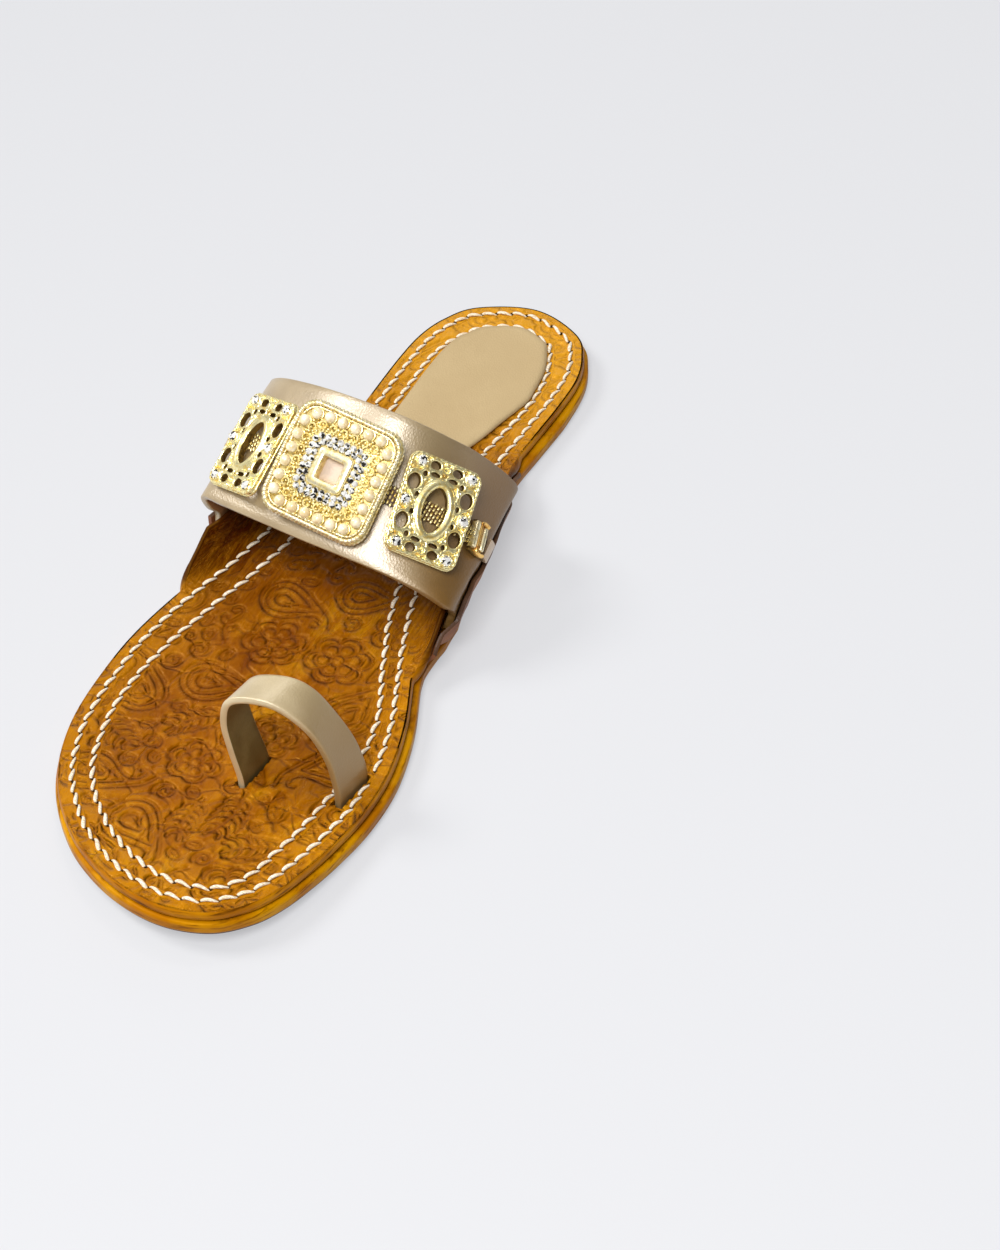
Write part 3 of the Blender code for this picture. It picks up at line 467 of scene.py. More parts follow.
class Shade:
    """One node material, its colour and its normal built up step by step."""

    def __init__(self, name, **settings):
        self.material = bpy.data.materials.new(name)
        self.material.use_nodes = True
        self.tree = self.material.node_tree
        self.shader = self.tree.nodes["Principled BSDF"]
        self.place = self.tree.nodes.new("ShaderNodeTexCoord").outputs["Object"]
        self.normal = None
        self.set(**settings)

    def fill(self, socket, value):
        """Links a socket to another node's output, or gives it a plain value."""
        if isinstance(value, bpy.types.NodeSocket):
            self.tree.links.new(value, socket)
        else:
            socket.default_value = value

    def set(self, **values):
        for key, value in values.items():
            self.fill(self.shader.inputs[key.replace("_", " ")], value)
        return self.material

    def node(self, kind, inputs, **properties):
        made = self.tree.nodes.new("ShaderNode" + kind)
        for key, value in properties.items():
            setattr(made, key, value)
        for key, value in inputs.items():
            self.fill(made.inputs[key], value)
        return made

    def times(self, first, second):
        return self.node("Math", {0: first, 1: second}, operation="MULTIPLY").outputs[0]

    def plus(self, first, second):
        return self.node("Math", {0: first, 1: second}).outputs[0]

    def span(self, factor, low, high, out_low=0.0, out_high=1.0):
        """A factor's span from low to high, eased to the span from out_low to out_high."""
        return self.node("MapRange", {"Value": factor, "From Min": low, "From Max": high,
                                      "To Min": out_low, "To Max": out_high},
                         interpolation_type="SMOOTHSTEP").outputs["Result"]

    def scaled(self, size, stretch, turn=(0, 0, 0)):
        """Places in units of size millimetres, drawn out by stretch."""
        scale = [1 / (MM * size * s) for s in stretch]
        return self.node("Mapping", {"Vector": self.place, "Rotation": turn, "Scale": scale}).outputs[0]

    def spots(self, size, stretch=(1, 1, 1), detail=3.0, turn=(0, 0, 0), rough=0.5, warp=0.0):
        """Noise whose spots are about size millimetres across."""
        place = self.scaled(size, stretch, turn)
        return self.node("TexNoise", {"Vector": place, "Scale": 1.0, "Detail": detail, "Roughness": rough,
                                      "Distortion": warp}).outputs["Fac"]

    def cells(self, size, stretch=(1, 1, 1)):
        """Distance to the middles of cells about size millimetres across."""
        place = self.scaled(size, stretch)
        return self.node("TexVoronoi", {"Vector": place, "Scale": 1.0}).outputs["Distance"]

    def veins(self, size, warp):
        """Distance to the edges of warped cells about size millimetres across."""
        bent = self.node("TexNoise", {"Vector": self.place, "Scale": 1 / (MM * size * 1.3), "Detail": 1.0})
        shift = self.node("VectorMath", {0: bent.outputs["Color"], 1: (warp * MM,) * 3}, operation="MULTIPLY")
        place = self.node("VectorMath", {0: self.place, 1: shift.outputs[0]})
        return self.node("TexVoronoi", {"Vector": place.outputs[0], "Scale": 1 / (MM * size)},
                         feature="DISTANCE_TO_EDGE").outputs["Distance"]

    def value(self, name):
        """A value that the mesh carries at its points."""
        return self.node("Attribute", {}, attribute_name=name).outputs["Fac"]

    def axis(self, vector, name):
        return self.node("SeparateXYZ", {"Vector": vector}).outputs[name]

    def ramp(self, factor, stops):
        """Colour by a factor; stops are (place, display colour) pairs."""
        made = self.node("ValToRGB", {"Fac": factor})
        band = made.color_ramp.elements
        while len(band) < len(stops):
            band.new(0.5)
        for element, (place, colour) in zip(band, stops):
            element.position = place
            element.color = rgb(*colour)
        self.colour = made.outputs["Color"]

    def tint(self, factor, colour):
        """Takes the colour so far to a display colour, by a factor."""
        inputs = {0: factor, 6: self.colour, 7: rgb(*colour)}
        self.colour = self.node("Mix", inputs, data_type="RGBA").outputs[2]

    def between(self, factor, first, second):
        """Colour from first to second, two display colours, by a factor."""
        self.colour = rgb(*first)
        self.tint(factor, second)

    def bump(self, height, depth, strength=1.0):
        """Adds a height of 0 to 1 that stands for depth millimetres."""
        inputs = {"Height": height, "Distance": depth * MM, "Strength": strength}
        if self.normal is not None:
            inputs["Normal"] = self.normal
        self.normal = self.node("Bump", inputs).outputs["Normal"]

    def finish(self, rough):
        return self.set(Base_Color=self.colour, Roughness=rough, Normal=self.normal)


# Metres along the foot where the painted sheen on the heel (lighter, more golden) sets in, and where the
# pattern wears off
HEEL_PAINTED_SHEEN = (0.045, 0.10)
WORN_HEEL = (0.04, 0.085)
# Metres to the medial side where painted shade sets in on a leather's flank
MEDIAL_PAINTED_SHADE = (0.016, 0.034)


def make_tan_leather():
    shade = Shade("tan_leather_embossed", Specular_IOR_Level=0.44, Specular_Tint=rgb(255, 190, 84))
    broad = shade.spots(34, detail=2)
    middle = shade.spots(8, (1.0, 1.8, 1), detail=5, rough=0.65, warp=0.8)
    streaks = shade.spots(1.6, (0.7, 4.5, 1), detail=5, rough=0.7, turn=(0, 0, -0.35), warp=0.4)
    shade.ramp(shade.plus(shade.times(broad, 0.40), shade.times(middle, 0.60)),
               [(0.34, (112, 55, 1)), (0.46, (141, 79, 1)), (0.56, (161, 97, 2)), (0.68, (190, 129, 8))])
    shade.tint(shade.span(streaks, 0.44, 0.74, 0.0, 0.45), (124, 58, 2))
    toe_to_heel = shade.axis(shade.place, "Y")
    # painted sheen: the heel lighter and more golden
    shade.tint(shade.span(toe_to_heel, *HEEL_PAINTED_SHEEN, 0.0, 0.75), (222, 162, 44))
    shade.tint(shade.times(shade.value("margin"), 0.42), (200, 134, 10))

    # painted shade: the leather darkens and reddens where it turns up into the ears and in under the band,
    # wrinkled along the foot, with painted shade in the wrinkles' troughs and painted light on their ridges
    ears = shade.value("shade")
    wrinkle = shade.spots(1.5, (0.8, 12.0, 0.7), detail=4, rough=0.7, warp=1.0)
    depth = shade.times(shade.span(wrinkle, 0.40, 0.62, 0.22, -0.30), ears)
    shade.tint(shade.plus(ears, depth), (76, 20, 0))

    # the embossing's lines and shoulders, finer veins between them, and the stitch holes
    groove = shade.value("groove")
    smooth = shade.span(toe_to_heel, *WORN_HEEL, 1.0, 0.30)
    worn = shade.span(shade.spots(13, detail=2), 0.35, 0.65, 0.45, 1.0)
    worn = shade.times(shade.times(worn, shade.span(ears, 0.35, 0.65, 1.0, 0.12)), smooth)
    line = shade.times(shade.span(groove, 0.18, 0.80, 1.0, 0.0), worn)
    shoulder = shade.times(shade.span(groove, 0.5, 1.9, 1.0, 0.0), worn)
    vein = shade.span(shade.veins(7.5, 13.0), 0.0, 0.15, 1.0, 0.0)
    vein = shade.times(shade.times(vein, shade.span(ears, 0.1, 0.4, 1.0, 0.25)), smooth)
    shade.tint(shade.times(vein, 0.20), (110, 52, 2))
    shade.tint(shade.times(shoulder, 0.16), (120, 60, 3))
    shade.tint(shade.times(line, 0.38), (98, 44, 2))
    # painted shade in the stitch holes and in the loop's slits
    shade.tint(shade.span(shade.value("hole"), 0.30, 0.8, 1.0, 0.0), (30, 12, 3))

    crease = shade.spots(1.4, (1.0, 3.0, 1), detail=4, rough=0.7, warp=1.5)
    for height, deep, strength in (
            (shade.span(groove, 0.1, 1.5), 0.34, 1.0), (line, -0.30, 1.0), (vein, -0.34, 1.0),
            (shade.times(wrinkle, ears), 1.8, 1.0), (shade.spots(5.0), 0.5, 0.8), (crease, 0.26, 1.0),
            (shade.cells(0.55), 0.03, 0.5)):
        shade.bump(height, deep, strength)
    return shade.finish(shade.span(middle, 0.3, 0.7, 0.16, 0.32))


def make_edge_leather(name, light, dark, line):
    """Painted cut edge, streaked along the layers."""
    shade = Shade(name, Specular_IOR_Level=0.26, Specular_Tint=rgb(255, 196, 70))
    streaks = shade.spots(0.9, (9, 9, 0.7), detail=4, rough=0.6)
    shade.between(shade.span(shade.spots(12), 0.35, 0.65), light, dark)
    shade.tint(shade.span(streaks, 0.50, 0.70, 0.0, 0.8), line)
    # painted shade: the rim darkens where the top sole carries painted shade at the ears
    shade.tint(shade.span(shade.value("shade"), 0.0, 0.4), line)
    shade.bump(streaks, 0.12, 0.6)
    shade.bump(shade.cells(6.0, (0.35, 0.35, 1.6)), 0.10, 0.4)
    return shade.finish(shade.span(streaks, 0.3, 0.7, 0.34, 0.52))


def make_soft_leather(name, light, dark, grain_size, metallic, rough, patch_size=10.0, coat=0.0, painted_flank_shade=None):
    """Smooth dyed leather with a fine grain, and a colour of painted shade on the medial flank of the foot,
    where its coat's sheen is also cut back.
    """
    shade = Shade(name, Metallic=metallic, Specular_IOR_Level=0.4, Coat_Weight=coat, Coat_Roughness=0.38,
                  Coat_IOR=2.1)
    patches = shade.spots(patch_size)
    grain = shade.cells(grain_size, (1.0, 1.5, 1.0))
    shade.between(shade.span(patches, 0.35, 0.7), dark, light)
    shade.tint(shade.span(grain, 0.35, 0.9, 0.0, 0.25), dark)
    if painted_flank_shade:
        # painted shade: the medial flank darkens and loses most of its coat's sheen
        across = shade.axis(shade.place, "X")
        shade.tint(shade.span(across, *MEDIAL_PAINTED_SHADE, 0.0, 0.84), painted_flank_shade)
        shade.set(Coat_Weight=shade.span(across, *MEDIAL_PAINTED_SHADE, coat, coat * 0.16))
    shade.bump(grain, 0.06, 0.8)
    shade.bump(shade.spots(0.5, (0.6, 5.0, 1)), 0.04, 0.5)
    shade.set(Coat_Normal=shade.normal)
    return shade.finish(shade.span(patches, 0.3, 0.7, rough - 0.05, rough + 0.06))


def make_gold(name, light, dark, rough):
    """Cast, tumbled gilding, darker in its hollows."""
    shade = Shade(name, Metallic=0.78, Specular_IOR_Level=0.6)
    pits = shade.spots(1.4, detail=2)
    shade.between(shade.span(pits, 0.34, 0.54), dark, light)
    shade.bump(pits, 0.07, 0.35)
    return shade.finish(shade.span(pits, 0.3, 0.7, rough + 0.10, rough))


def make_pearl():
    shade = Shade("pearl", Roughness=0.20, Coat_Weight=0.9, Coat_Roughness=0.04, Specular_IOR_Level=0.6)
    shade.between(shade.span(shade.spots(2.0, detail=2), 0.35, 0.65), (230, 205, 154), (247, 235, 205))
    return shade.set(Base_Color=shade.colour)


def make_stone():
    """Cut clear stone over foil: painted reflections make its facets white, grey and near-black."""
    shade = Shade("cut_stone", Metallic=0.35, Specular_IOR_Level=0.7)
    facet = shade.node("TexVoronoi", {"Vector": shade.place, "Scale": 1 / (MM * 0.62)})
    pick = shade.axis(facet.outputs["Color"], "X")
    shade.ramp(pick, [(0.0, (14, 12, 10)), (0.28, (58, 54, 50)), (0.36, (234, 232, 226)),
                      (1.0, (255, 255, 252))])
    return shade.set(Base_Color=shade.colour, Roughness=shade.span(pick, 0.2, 0.8, 0.04, 0.14))


def make_thread():
    shade = Shade("waxed_thread", Sheen_Weight=0.3, Specular_IOR_Level=0.3)
    twist = shade.spots(0.30, (3.5, 0.8, 1), detail=2, turn=(0, 0, 0.9))
    shade.between(shade.span(twist, 0.35, 0.65), (204, 182, 146), (246, 237, 218))
    shade.tint(shade.span(shade.spots(4.0, detail=2), 0.55, 0.8, 0.0, 0.35), (206, 176, 130))
    shade.bump(twist, 0.14, 0.8)
    return shade.finish(shade.span(twist, 0.3, 0.7, 0.75, 0.55))


TAN = make_tan_leather()
EDGE = make_edge_leather("dyed_edge", (196, 136, 2), (166, 100, 1), (100, 50, 1))
RIM = make_edge_leather("dyed_rim", (186, 121, 4), (156, 91, 2), (62, 26, 2))
UNDERSIDE = make_edge_leather("sole_underside", (92, 58, 30), (70, 42, 22), (48, 28, 16))
RAW = make_soft_leather("natural_leather", (156, 98, 56), (120, 68, 34), 0.6, 0.0, 0.6)
# the band and the toe loop get painted shade on their medial flank
CHAMPAGNE = make_soft_leather("champagne_leather", (178, 156, 116), (160, 137, 97), 0.5, 0.22, 0.40, 14.0,
                              coat=1.0, painted_flank_shade=(118, 80, 20))
STRAP = make_soft_leather("strap_leather", (214, 188, 156), (196, 168, 134), 0.5, 0.3, 0.38, 14.0, coat=0.8)
LOOP = make_soft_leather("loop_leather", (218, 198, 156), (198, 178, 136), 0.5, 0.22, 0.38, 14.0,
                         coat=1.0, painted_flank_shade=(142, 108, 56))
LOOP_LINING = make_soft_leather("loop_lining", (142, 122, 72), (116, 96, 50), 0.5, 0.5, 0.5)
LINING = make_soft_leather("band_lining", (150, 104, 62), (122, 80, 46), 0.7, 0.0, 0.65)
CUT_EDGE = make_soft_leather("dark_cut_edge", (98, 66, 40), (72, 46, 28), 0.4, 0.0, 0.5)
SOCK = make_soft_leather("heel_sock", (198, 174, 130), (190, 165, 121), 0.45, 0.35, 0.48, 24.0)
INLAY = make_soft_leather("inlay_leather", (216, 196, 178), (200, 176, 156), 0.4, 0.0, 0.5)
GOLD = make_gold("pale_gold", (248, 236, 196), (222, 200, 134), 0.26)
WARM_GOLD = make_gold("warm_gold", (252, 237, 174), (224, 194, 106), 0.28)
CAST_GOLD = make_gold("cast_gold", (255, 242, 182), (238, 208, 124), 0.24)
ORANGE_GOLD = make_gold("orange_gold", (250, 204, 120), (206, 140, 58), 0.22)
# the centre plate's gold: partly its own colour, made darker to paint shade in the gaps between its granules
# and pearls
PLATE_GOLD = make_gold("plate_gold", (232, 212, 144), (188, 162, 88), 0.30)
# dark gold for painted shade: the walls of the side plaques' openings and the slide's base block
SHADE_PAINTED_GOLD = make_gold("gold_painted_shade", (128, 100, 44), (84, 62, 22), 0.45)
PEARL = make_pearl()
STONE = make_stone()
THREAD = make_thread()


# ---------------------------------------------------------------- stitch rows

STITCH_LONG = {"lateral": 4.35, "medial": 4.5}
STITCH_RADIUS = 0.50
STITCH_SINK = 0.30
STITCH_ARCH = 0.70
STITCH_LEAN = 0.46
STITCH_BOW = 0.16
# Nearest that a stitch comes to a slit of the loop
STITCH_CLEAR = 0.75
# Points of the row over which one side's stitch length passes into the other's
PITCH_BLEND = 70
# How far the inner row runs inside the outer one, place by place along the foot
INNER_ROW_GAPS = {
    "lateral": [(-121, 4.9), (-113, 5.2), (-93, 4.8), (-78, 5.2), (-62, 4.9), (-46, 6.2), (-29, 7.0),
                (7, 7.2), (40, 6.0), (66, 4.8), (95, 4.7), (104, 5.8), (111, 6.3), (121, 6.1)],
    "medial": [(-121, 4.9), (-115, 4.0), (-108, 4.5), (-99, 5.5), (-83, 6.2), (-75, 6.4), (-64, 5.8),
               (-53, 4.2), (-44, 3.6), (-35, 3.9), (-15, 4.7), (3, 5.1), (58, 5.4), (75, 4.5),
               (85, 4.1), (95, 5.0), (105, 5.9), (121, 6.1)],
}
ROW_GAPS = np.array([at_place(INNER_ROW_GAPS[side], y) for side, y in PLACES])
INNER_ROW = ROW - ROW_NORMALS * ROW_GAPS[:, None]


def stitch_places(row):
    """Number of stitches round a row, and the function that gives the row's point at a count of stitches."""
    long = np.array([STITCH_LONG[side] for side, _ in PLACES])
    wide = np.concatenate([long[-PITCH_BLEND:], long, long[:PITCH_BLEND]])
    window = 2 * PITCH_BLEND + 1
    long = np.convolve(wide, np.ones(window) / window, "valid")
    closed = np.vstack([row, row[:1]])
    run = np.concatenate([[0.0], np.cumsum(step_lengths(closed) / long)])
    number = round(run[-1])
    run *= number / run[-1]

    def at(place):
        place = np.asarray(place) % number
        return np.stack([np.interp(place, run, column) for column in closed.T], axis=-1)
    return number, at


def surface(points):
    """Height of the flat of the top sole under (x, y) points."""
    return TOP_LEVEL + rise(np.asarray(points)[..., 1])


def slit_box(column):
    """Middle, long direction, half length and half width of the slit for a leg of the loop."""
    front, rear = LOOP_FACE[0, column, :2], LOOP_FACE[-1, column, :2]
    middle = (front + rear) / 2 - unit(LOOP_NORMALS[0, column, :2]) * LOOP_THICKNESS / 2
    half_long = np.linalg.norm(rear - front) / 2 + LOOP_SLIT_MARGIN + 0.3
    return middle, unit(rear - front), half_long, LOOP_THICKNESS / 2 + LOOP_SLIT_MARGIN


SLITS = [slit_box(column) for column in (0, LOOP_SEGMENTS)]


def slit_distance(points):
    """Distance of (x, y) points outside the nearest slit, 0 inside."""
    gaps = []
    for middle, along, half_long, half_wide in SLITS:
        offset = points - middle
        lengthwise = np.abs(offset @ along) - half_long
        sideways = np.abs(offset @ np.array([-along[1], along[0]])) - half_wide
        gaps.append(np.hypot(np.maximum(lengthwise, 0), np.maximum(sideways, 0)))
    return np.minimum(*gaps)


def build_stitches(name, row):
    """One thread's stitches, arched strands that lean across the row and are plumper in front.

    Returns the places of the stitch holes."""
    number, at = stitch_places(row)
    share = np.linspace(0.03, 0.97, 11)
    swell = np.sin(math.pi * np.linspace(0.02, 0.98, 11))
    plump = 0.42 + 0.58 * np.sin(math.pi * np.linspace(0.05, 0.98, 11) ** 0.66)
    heap, holes = Heap(), []
    for k in range(number):
        start, end = at(k), at(k + 1)
        if slit_distance((start + end)[None] / 2)[0] < STITCH_CLEAR:
            continue
        holes += [start, end]
        along = unit(end - start)
        # each stitch leans, lies and swells a little differently
        lean = STITCH_LEAN * np.sin(math.pi * (share - 0.5)) * (1 + 0.15 * math.sin(k * 2.3))
        aside = lean - STITCH_BOW * swell + 0.08 * math.sin(k * 1.7)
        flat = at(k + share) + np.outer(aside, (along[1], -along[0]))
        height = surface(flat) - STITCH_SINK - 0.12 + STITCH_ARCH * swell ** 0.7
        thick = STITCH_RADIUS * (1 + 0.10 * math.sin(k * 3.1)) * (plump if along[1] > 0 else plump[::-1])
        heap.tube(np.column_stack([flat, height]), thick, (0, 0, 1), flat=0.85)
    heap.piece(name, [THREAD], sharp=60)
    return holes


# ---------------------------------------------------------------- embossed pattern

# Motifs are scattered in this order, each where it finds room: smallest and largest size, and tries
SCATTER = [
    ("paisley", 20.0, 24.0, 130), ("flower", 14.0, 18.0, 320), ("fern", 15.0, 18.0, 500),
    ("tendril", 12.0, 16.0, 2400), ("leaf", 9.5, 13.0, 2600), ("curl", 5.0, 7.0, 3000),
    ("bud", 3.6, 4.6, 3400),
]
SCATTER_REACH = np.array([58.0, 134.0])
SCATTER_GAP = 0.35
SCATTER_SEED = 7
LINE_STEP = 0.2


def ellipse(x, y, radius_x, radius_y, turn):
    return np.column_stack([x + radius_x * np.cos(turn), y + radius_y * np.sin(turn)])


def paisley():
    outline = [(1.0, 0.30), (0.93, 0.15), (0.80, 0.04), (0.62, -0.08), (0.42, -0.20), (0.22, -0.25),
               (0.05, -0.16), (-0.02, 0.04), (0.06, 0.24), (0.24, 0.35), (0.44, 0.32), (0.60, 0.22),
               (0.73, 0.17), (0.83, 0.21), (0.86, 0.30), (0.80, 0.33)]
    inner = [(0.70, 0.09), (0.50, -0.05), (0.34, -0.13), (0.18, -0.14), (0.08, -0.03), (0.09, 0.14),
             (0.20, 0.25), (0.36, 0.24), (0.50, 0.18), (0.70, 0.09)]
    drop = [(0.46, 0.07), (0.34, 0.00), (0.25, -0.03), (0.18, 0.04), (0.21, 0.13), (0.31, 0.15), (0.46, 0.07)]
    return [smooth_curve(outline, 8), smooth_curve(inner, 8), smooth_curve(drop, 6)]


def flower(petals=6):
    turn = np.linspace(0, 2 * math.pi, 97)
    petal = np.abs(np.sin(petals * turn / 2)) ** 0.6
    lines = [ellipse(0, 0, reach, reach, turn) for reach in (0.34 + 0.15 * petal, 0.24 + 0.10 * petal, 0.11)]
    notches = round_angles(petals)
    return lines + [np.outer((0.15, 0.33), notch) for notch in ellipse(0, 0, 1, 1, notches)]


def leaf():
    upper = smooth_curve([(0, 0), (0.22, 0.15), (0.50, 0.18), (0.78, 0.10), (1.0, 0.0)], 6)
    lines = [np.vstack([upper, upper[::-1] * (1, -1)]), [(-0.18, -0.03), (0.0, 0.0), (0.86, 0.0)]]
    return lines + [[(x, 0.0), (x + 0.16, side * 0.10)] for x in (0.25, 0.50) for side in (1, -1)]


def fern():
    rib = smooth_curve([(0, 0), (0.3, 0.07), (0.65, 0.07), (1.0, -0.04)], 8)
    lines = [rib]
    for share in (0.16, 0.30, 0.44, 0.58, 0.72, 0.86):
        root = rib[int(share * (len(rib) - 1))]
        reach = 0.20 * math.sin(math.pi * (0.12 + 0.82 * share)) + 0.05
        for side in (1, -1):
            bend = root + np.array([reach * 0.35, side * reach * 0.75])
            lines.append(smooth_curve([root, bend, root + np.array([reach * 0.95, side * reach])], 4))
    return lines


def tendril():
    stem = [(0, 0), (0.25, 0.12), (0.50, 0.10), (0.72, -0.05), (0.92, -0.06), (1.0, 0.07), (0.92, 0.16),
            (0.82, 0.11), (0.86, 0.04)]
    shoot = [(0.42, 0.12), (0.50, 0.26), (0.64, 0.30), (0.70, 0.20), (0.62, 0.18)]
    spur = [(0.20, 0.09), (0.30, -0.06), (0.42, -0.10)]
    return [smooth_curve(stem, 6), smooth_curve(shoot, 6), smooth_curve(spur, 5)]


def curl():
    turn = np.linspace(0, 3.2 * math.pi, 40)
    reach = 0.46 * (1 - turn / (4.2 * math.pi))
    return [ellipse(0, 0, reach, reach, turn)]


def bud():
    return [ellipse(0, 0, 0.45, 0.30, np.linspace(0, 2 * math.pi, 30)), [(-0.2, 0), (0.2, 0)]]


# Each motif's lines, and the discs (x, y, radius) that keep others off it
MOTIFS = {
    "paisley": (paisley(), [(0.22, 0.04, 0.31), (0.52, 0.06, 0.22), (0.80, 0.16, 0.15), (0.96, 0.27, 0.07)]),
    "flower": (flower(), [(0, 0, 0.50)]),
    "fern": (fern(), [(0.15, 0.03, 0.13), (0.45, 0.07, 0.24), (0.75, 0.04, 0.22), (1.0, 0.0, 0.08)]),
    "leaf": (leaf(), [(-0.1, 0, 0.08), (0.22, 0, 0.17), (0.52, 0, 0.19), (0.85, 0, 0.12)]),
    "tendril": (tendril(), [(0.08, 0.03, 0.09), (0.34, 0.02, 0.15), (0.58, 0.18, 0.17), (0.88, 0.05, 0.16)]),
    "curl": (curl(), [(0, 0, 0.5)]),
    "bud": (bud(), [(0, 0, 0.5)]),
}


def pattern_points():
    """Closely spaced (x, y) points along every embossed line on the sole."""
    chance = np.random.default_rng(SCATTER_SEED)
    placed = np.empty((0, 3))
    samples = []
    for name, smallest, largest, tries in SCATTER:
        lines, discs = MOTIFS[name]
        discs = np.array(discs, float)
        for _ in range(tries):
            size = chance.uniform(smallest, largest)
            angle = chance.uniform(0, 2 * math.pi)
            corner = chance.uniform(-SCATTER_REACH, SCATTER_REACH)
            axes = np.array([[math.cos(angle), math.sin(angle)], [-math.sin(angle), math.cos(angle)]])
            axes[1] *= chance.choice((-1, 1))
            centres = discs[:, :2] * size @ axes + corner
            reach = discs[:, 2] * size
            apart = np.linalg.norm(centres[:, None] - placed[None, :, :2], axis=2)
            if np.any(apart < reach[:, None] + SCATTER_GAP + placed[None, :, 2]):
                continue
            placed = np.vstack([placed, np.column_stack([centres, reach])])
            for line in lines:
                line = np.asarray(line) * size @ axes + corner
                samples.append(even_steps(line, max(2, int(step_lengths(line).sum() / LINE_STEP))))
    return np.vstack(samples)


def distances(points, targets):
    """Distance from each (x, y) point to the nearest target."""
    tree = KDTree(len(targets))
    for k, (x, y) in enumerate(targets):
        tree.insert((x, y, 0.0), k)
    tree.balance()
    return np.array([tree.find((x, y, 0.0))[2] for x, y in points])


# ---------------------------------------------------------------- soles

SHARES = np.array([ear_share(*place) for place in PLACES])
FACES = [inner_face(*place) for place in PLACES]
FACE_LENGTHS = np.array([step_lengths(face).sum() for face in FACES])
EAR_SHADE_DEPTH = {"lateral": 1.0, "medial": 0.72}
INSIDE_COLUMNS = 150
RIM_RADIUS = 0.45
SLIT_DEPTH = 2.5
UNDER_INSET = 9.0
PATTERN_DEPTH = 0.20
HOLE_DEPTH = 0.25
EAR_SHADE_REACH = 9
MARGIN_REACH = 8.0
# Along the foot: where the band's painted shadow darkens the leather towards the band, and where it is light
# again behind it
BAND_SHADE = ((-62, -22), (48, 70))
# Stands for a point far from any line
FAR = 9.0


def ear_shade(side, y):
    """Painted shade on the leather at the ears, 0 to 1."""
    return EAR_SHADE_DEPTH[side] * ear_share(side, y) ** 0.6


def sole_ring(step_at):
    """Ring of world points, each from step_at(k) as (outward, up) off the k-th point of the row."""
    return np.array([lift_out(ROW[k], ROW_NORMALS[k], step_at(k)) for k in range(len(ROW))])


def top_sole_face(t, depth):
    """Ring of the top sole at t (0 at the stitch row, 1 at the rim) and depth (0 on top, 1 below)."""
    def step_at(k):
        thickness = TOP_SOLE_THICKNESS + (ear_thickness(SHARES[k]) - TOP_SOLE_THICKNESS) * min(1, 2 * t)
        return section_point(FACES[k], t, depth * thickness)
    return sole_ring(step_at)


def top_sole_edge(out, depth):
    """Ring round the top sole's rim: how far out along the leather, and how deep into it."""
    def step_at(k):
        along = unit(FACES[k][-1] - FACES[k][-2])
        return section_point(FACES[k], 1.0, depth * ear_thickness(SHARES[k])) + along * (out - RIM_RADIUS)
    return sole_ring(step_at)


def outsole_ring(inset, level):
    """Ring of the outsole at an inset from its outline and a level over its underside."""
    def step_at(k):
        side, y = PLACES[k]
        edge = STITCH_MARGIN + at_place(OUTSOLE_PROUD[side], y) + SHARES[k] ** 1.5 * OUTSOLE_EAR_REACH[side]
        return edge - inset, level - TOP_LEVEL
    return sole_ring(step_at)


def close_ring(ring, across, start, base):
    """Points between the medial and the lateral half of a ring, and the faces that close it.

    start is the number of the ring's first point, base that of the first new one."""
    count = len(ring)
    half = count // 2
    share = (np.arange(1, across + 1) / (across + 1))[:, None]
    points, rungs = [], []
    for k in range(1, half):
        left, right = ring[count - k], ring[k]
        middle = left + (right - left) * share
        middle[:, 2] += rise(middle[:, 1]) - (1 - share[:, 0]) * rise(left[1]) - share[:, 0] * rise(right[1])
        first = base + len(points) * across
        points.append(middle)
        rungs.append([start + count - k, *range(first, first + across), start + k])
    faces = [(tip, a, b) for tip, rung in ((start, rungs[0]), (start + half, rungs[-1]))
             for a, b in zip(rung, rung[1:])]
    for low, high in zip(rungs, rungs[1:]):
        faces += [(low[k], low[k + 1], high[k + 1], high[k]) for k in range(across + 1)]
    return np.vstack(points), faces


def close_rings(points, faces, indices, closings):
    """Closes rings as long as the row, and adds to faces and indices; returns all the points.

    A closing is the number of the ring's first point, the steps across and the material."""
    count = len(ROW)
    for start, across, material in closings:
        inner, closing = close_ring(points[start:start + count], across, start, len(points))
        points = np.vstack([points, inner])
        faces += closing
        indices += [material] * len(closing)
    return points


def build_outsole():
    top = OUTSOLE_THICKNESS
    steps = [(7.0, 0.0), (1.3, 0.0), (0.75, 0.08), (0.45, 0.3), (0.38, 0.6), (0.3, 0.85), (0.05, 1.1),
             (0.0, 1.4), (0.05, 2.1), (0.0, 2.8), (0.05, top - 0.7), (0.2, top - 0.35), (0.5, top - 0.1),
             (1.0, top), (7.0, top)]
    rings = [outsole_ring(*step) for step in steps]
    points, faces = loft(rings, "open")
    count = len(ROW)
    # the underside, the dark foot of the edge, then the dyed edge
    indices = np.repeat([2] * 2 + [1] * 4 + [0] * 8, count).tolist()
    points = close_rings(points, faces, indices, ((0, 8, 2), (len(points) - count, 8, 0)))
    add_piece("outsole_dressed", points, faces, [EDGE, CUT_EDGE, UNDERSIDE], indices,
              slot="edge_leather", replaces=["outsole"])


def ease(value, low, high):
    t = np.clip((value - low) / (high - low), 0, 1)
    return t * t * (3 - 2 * t)


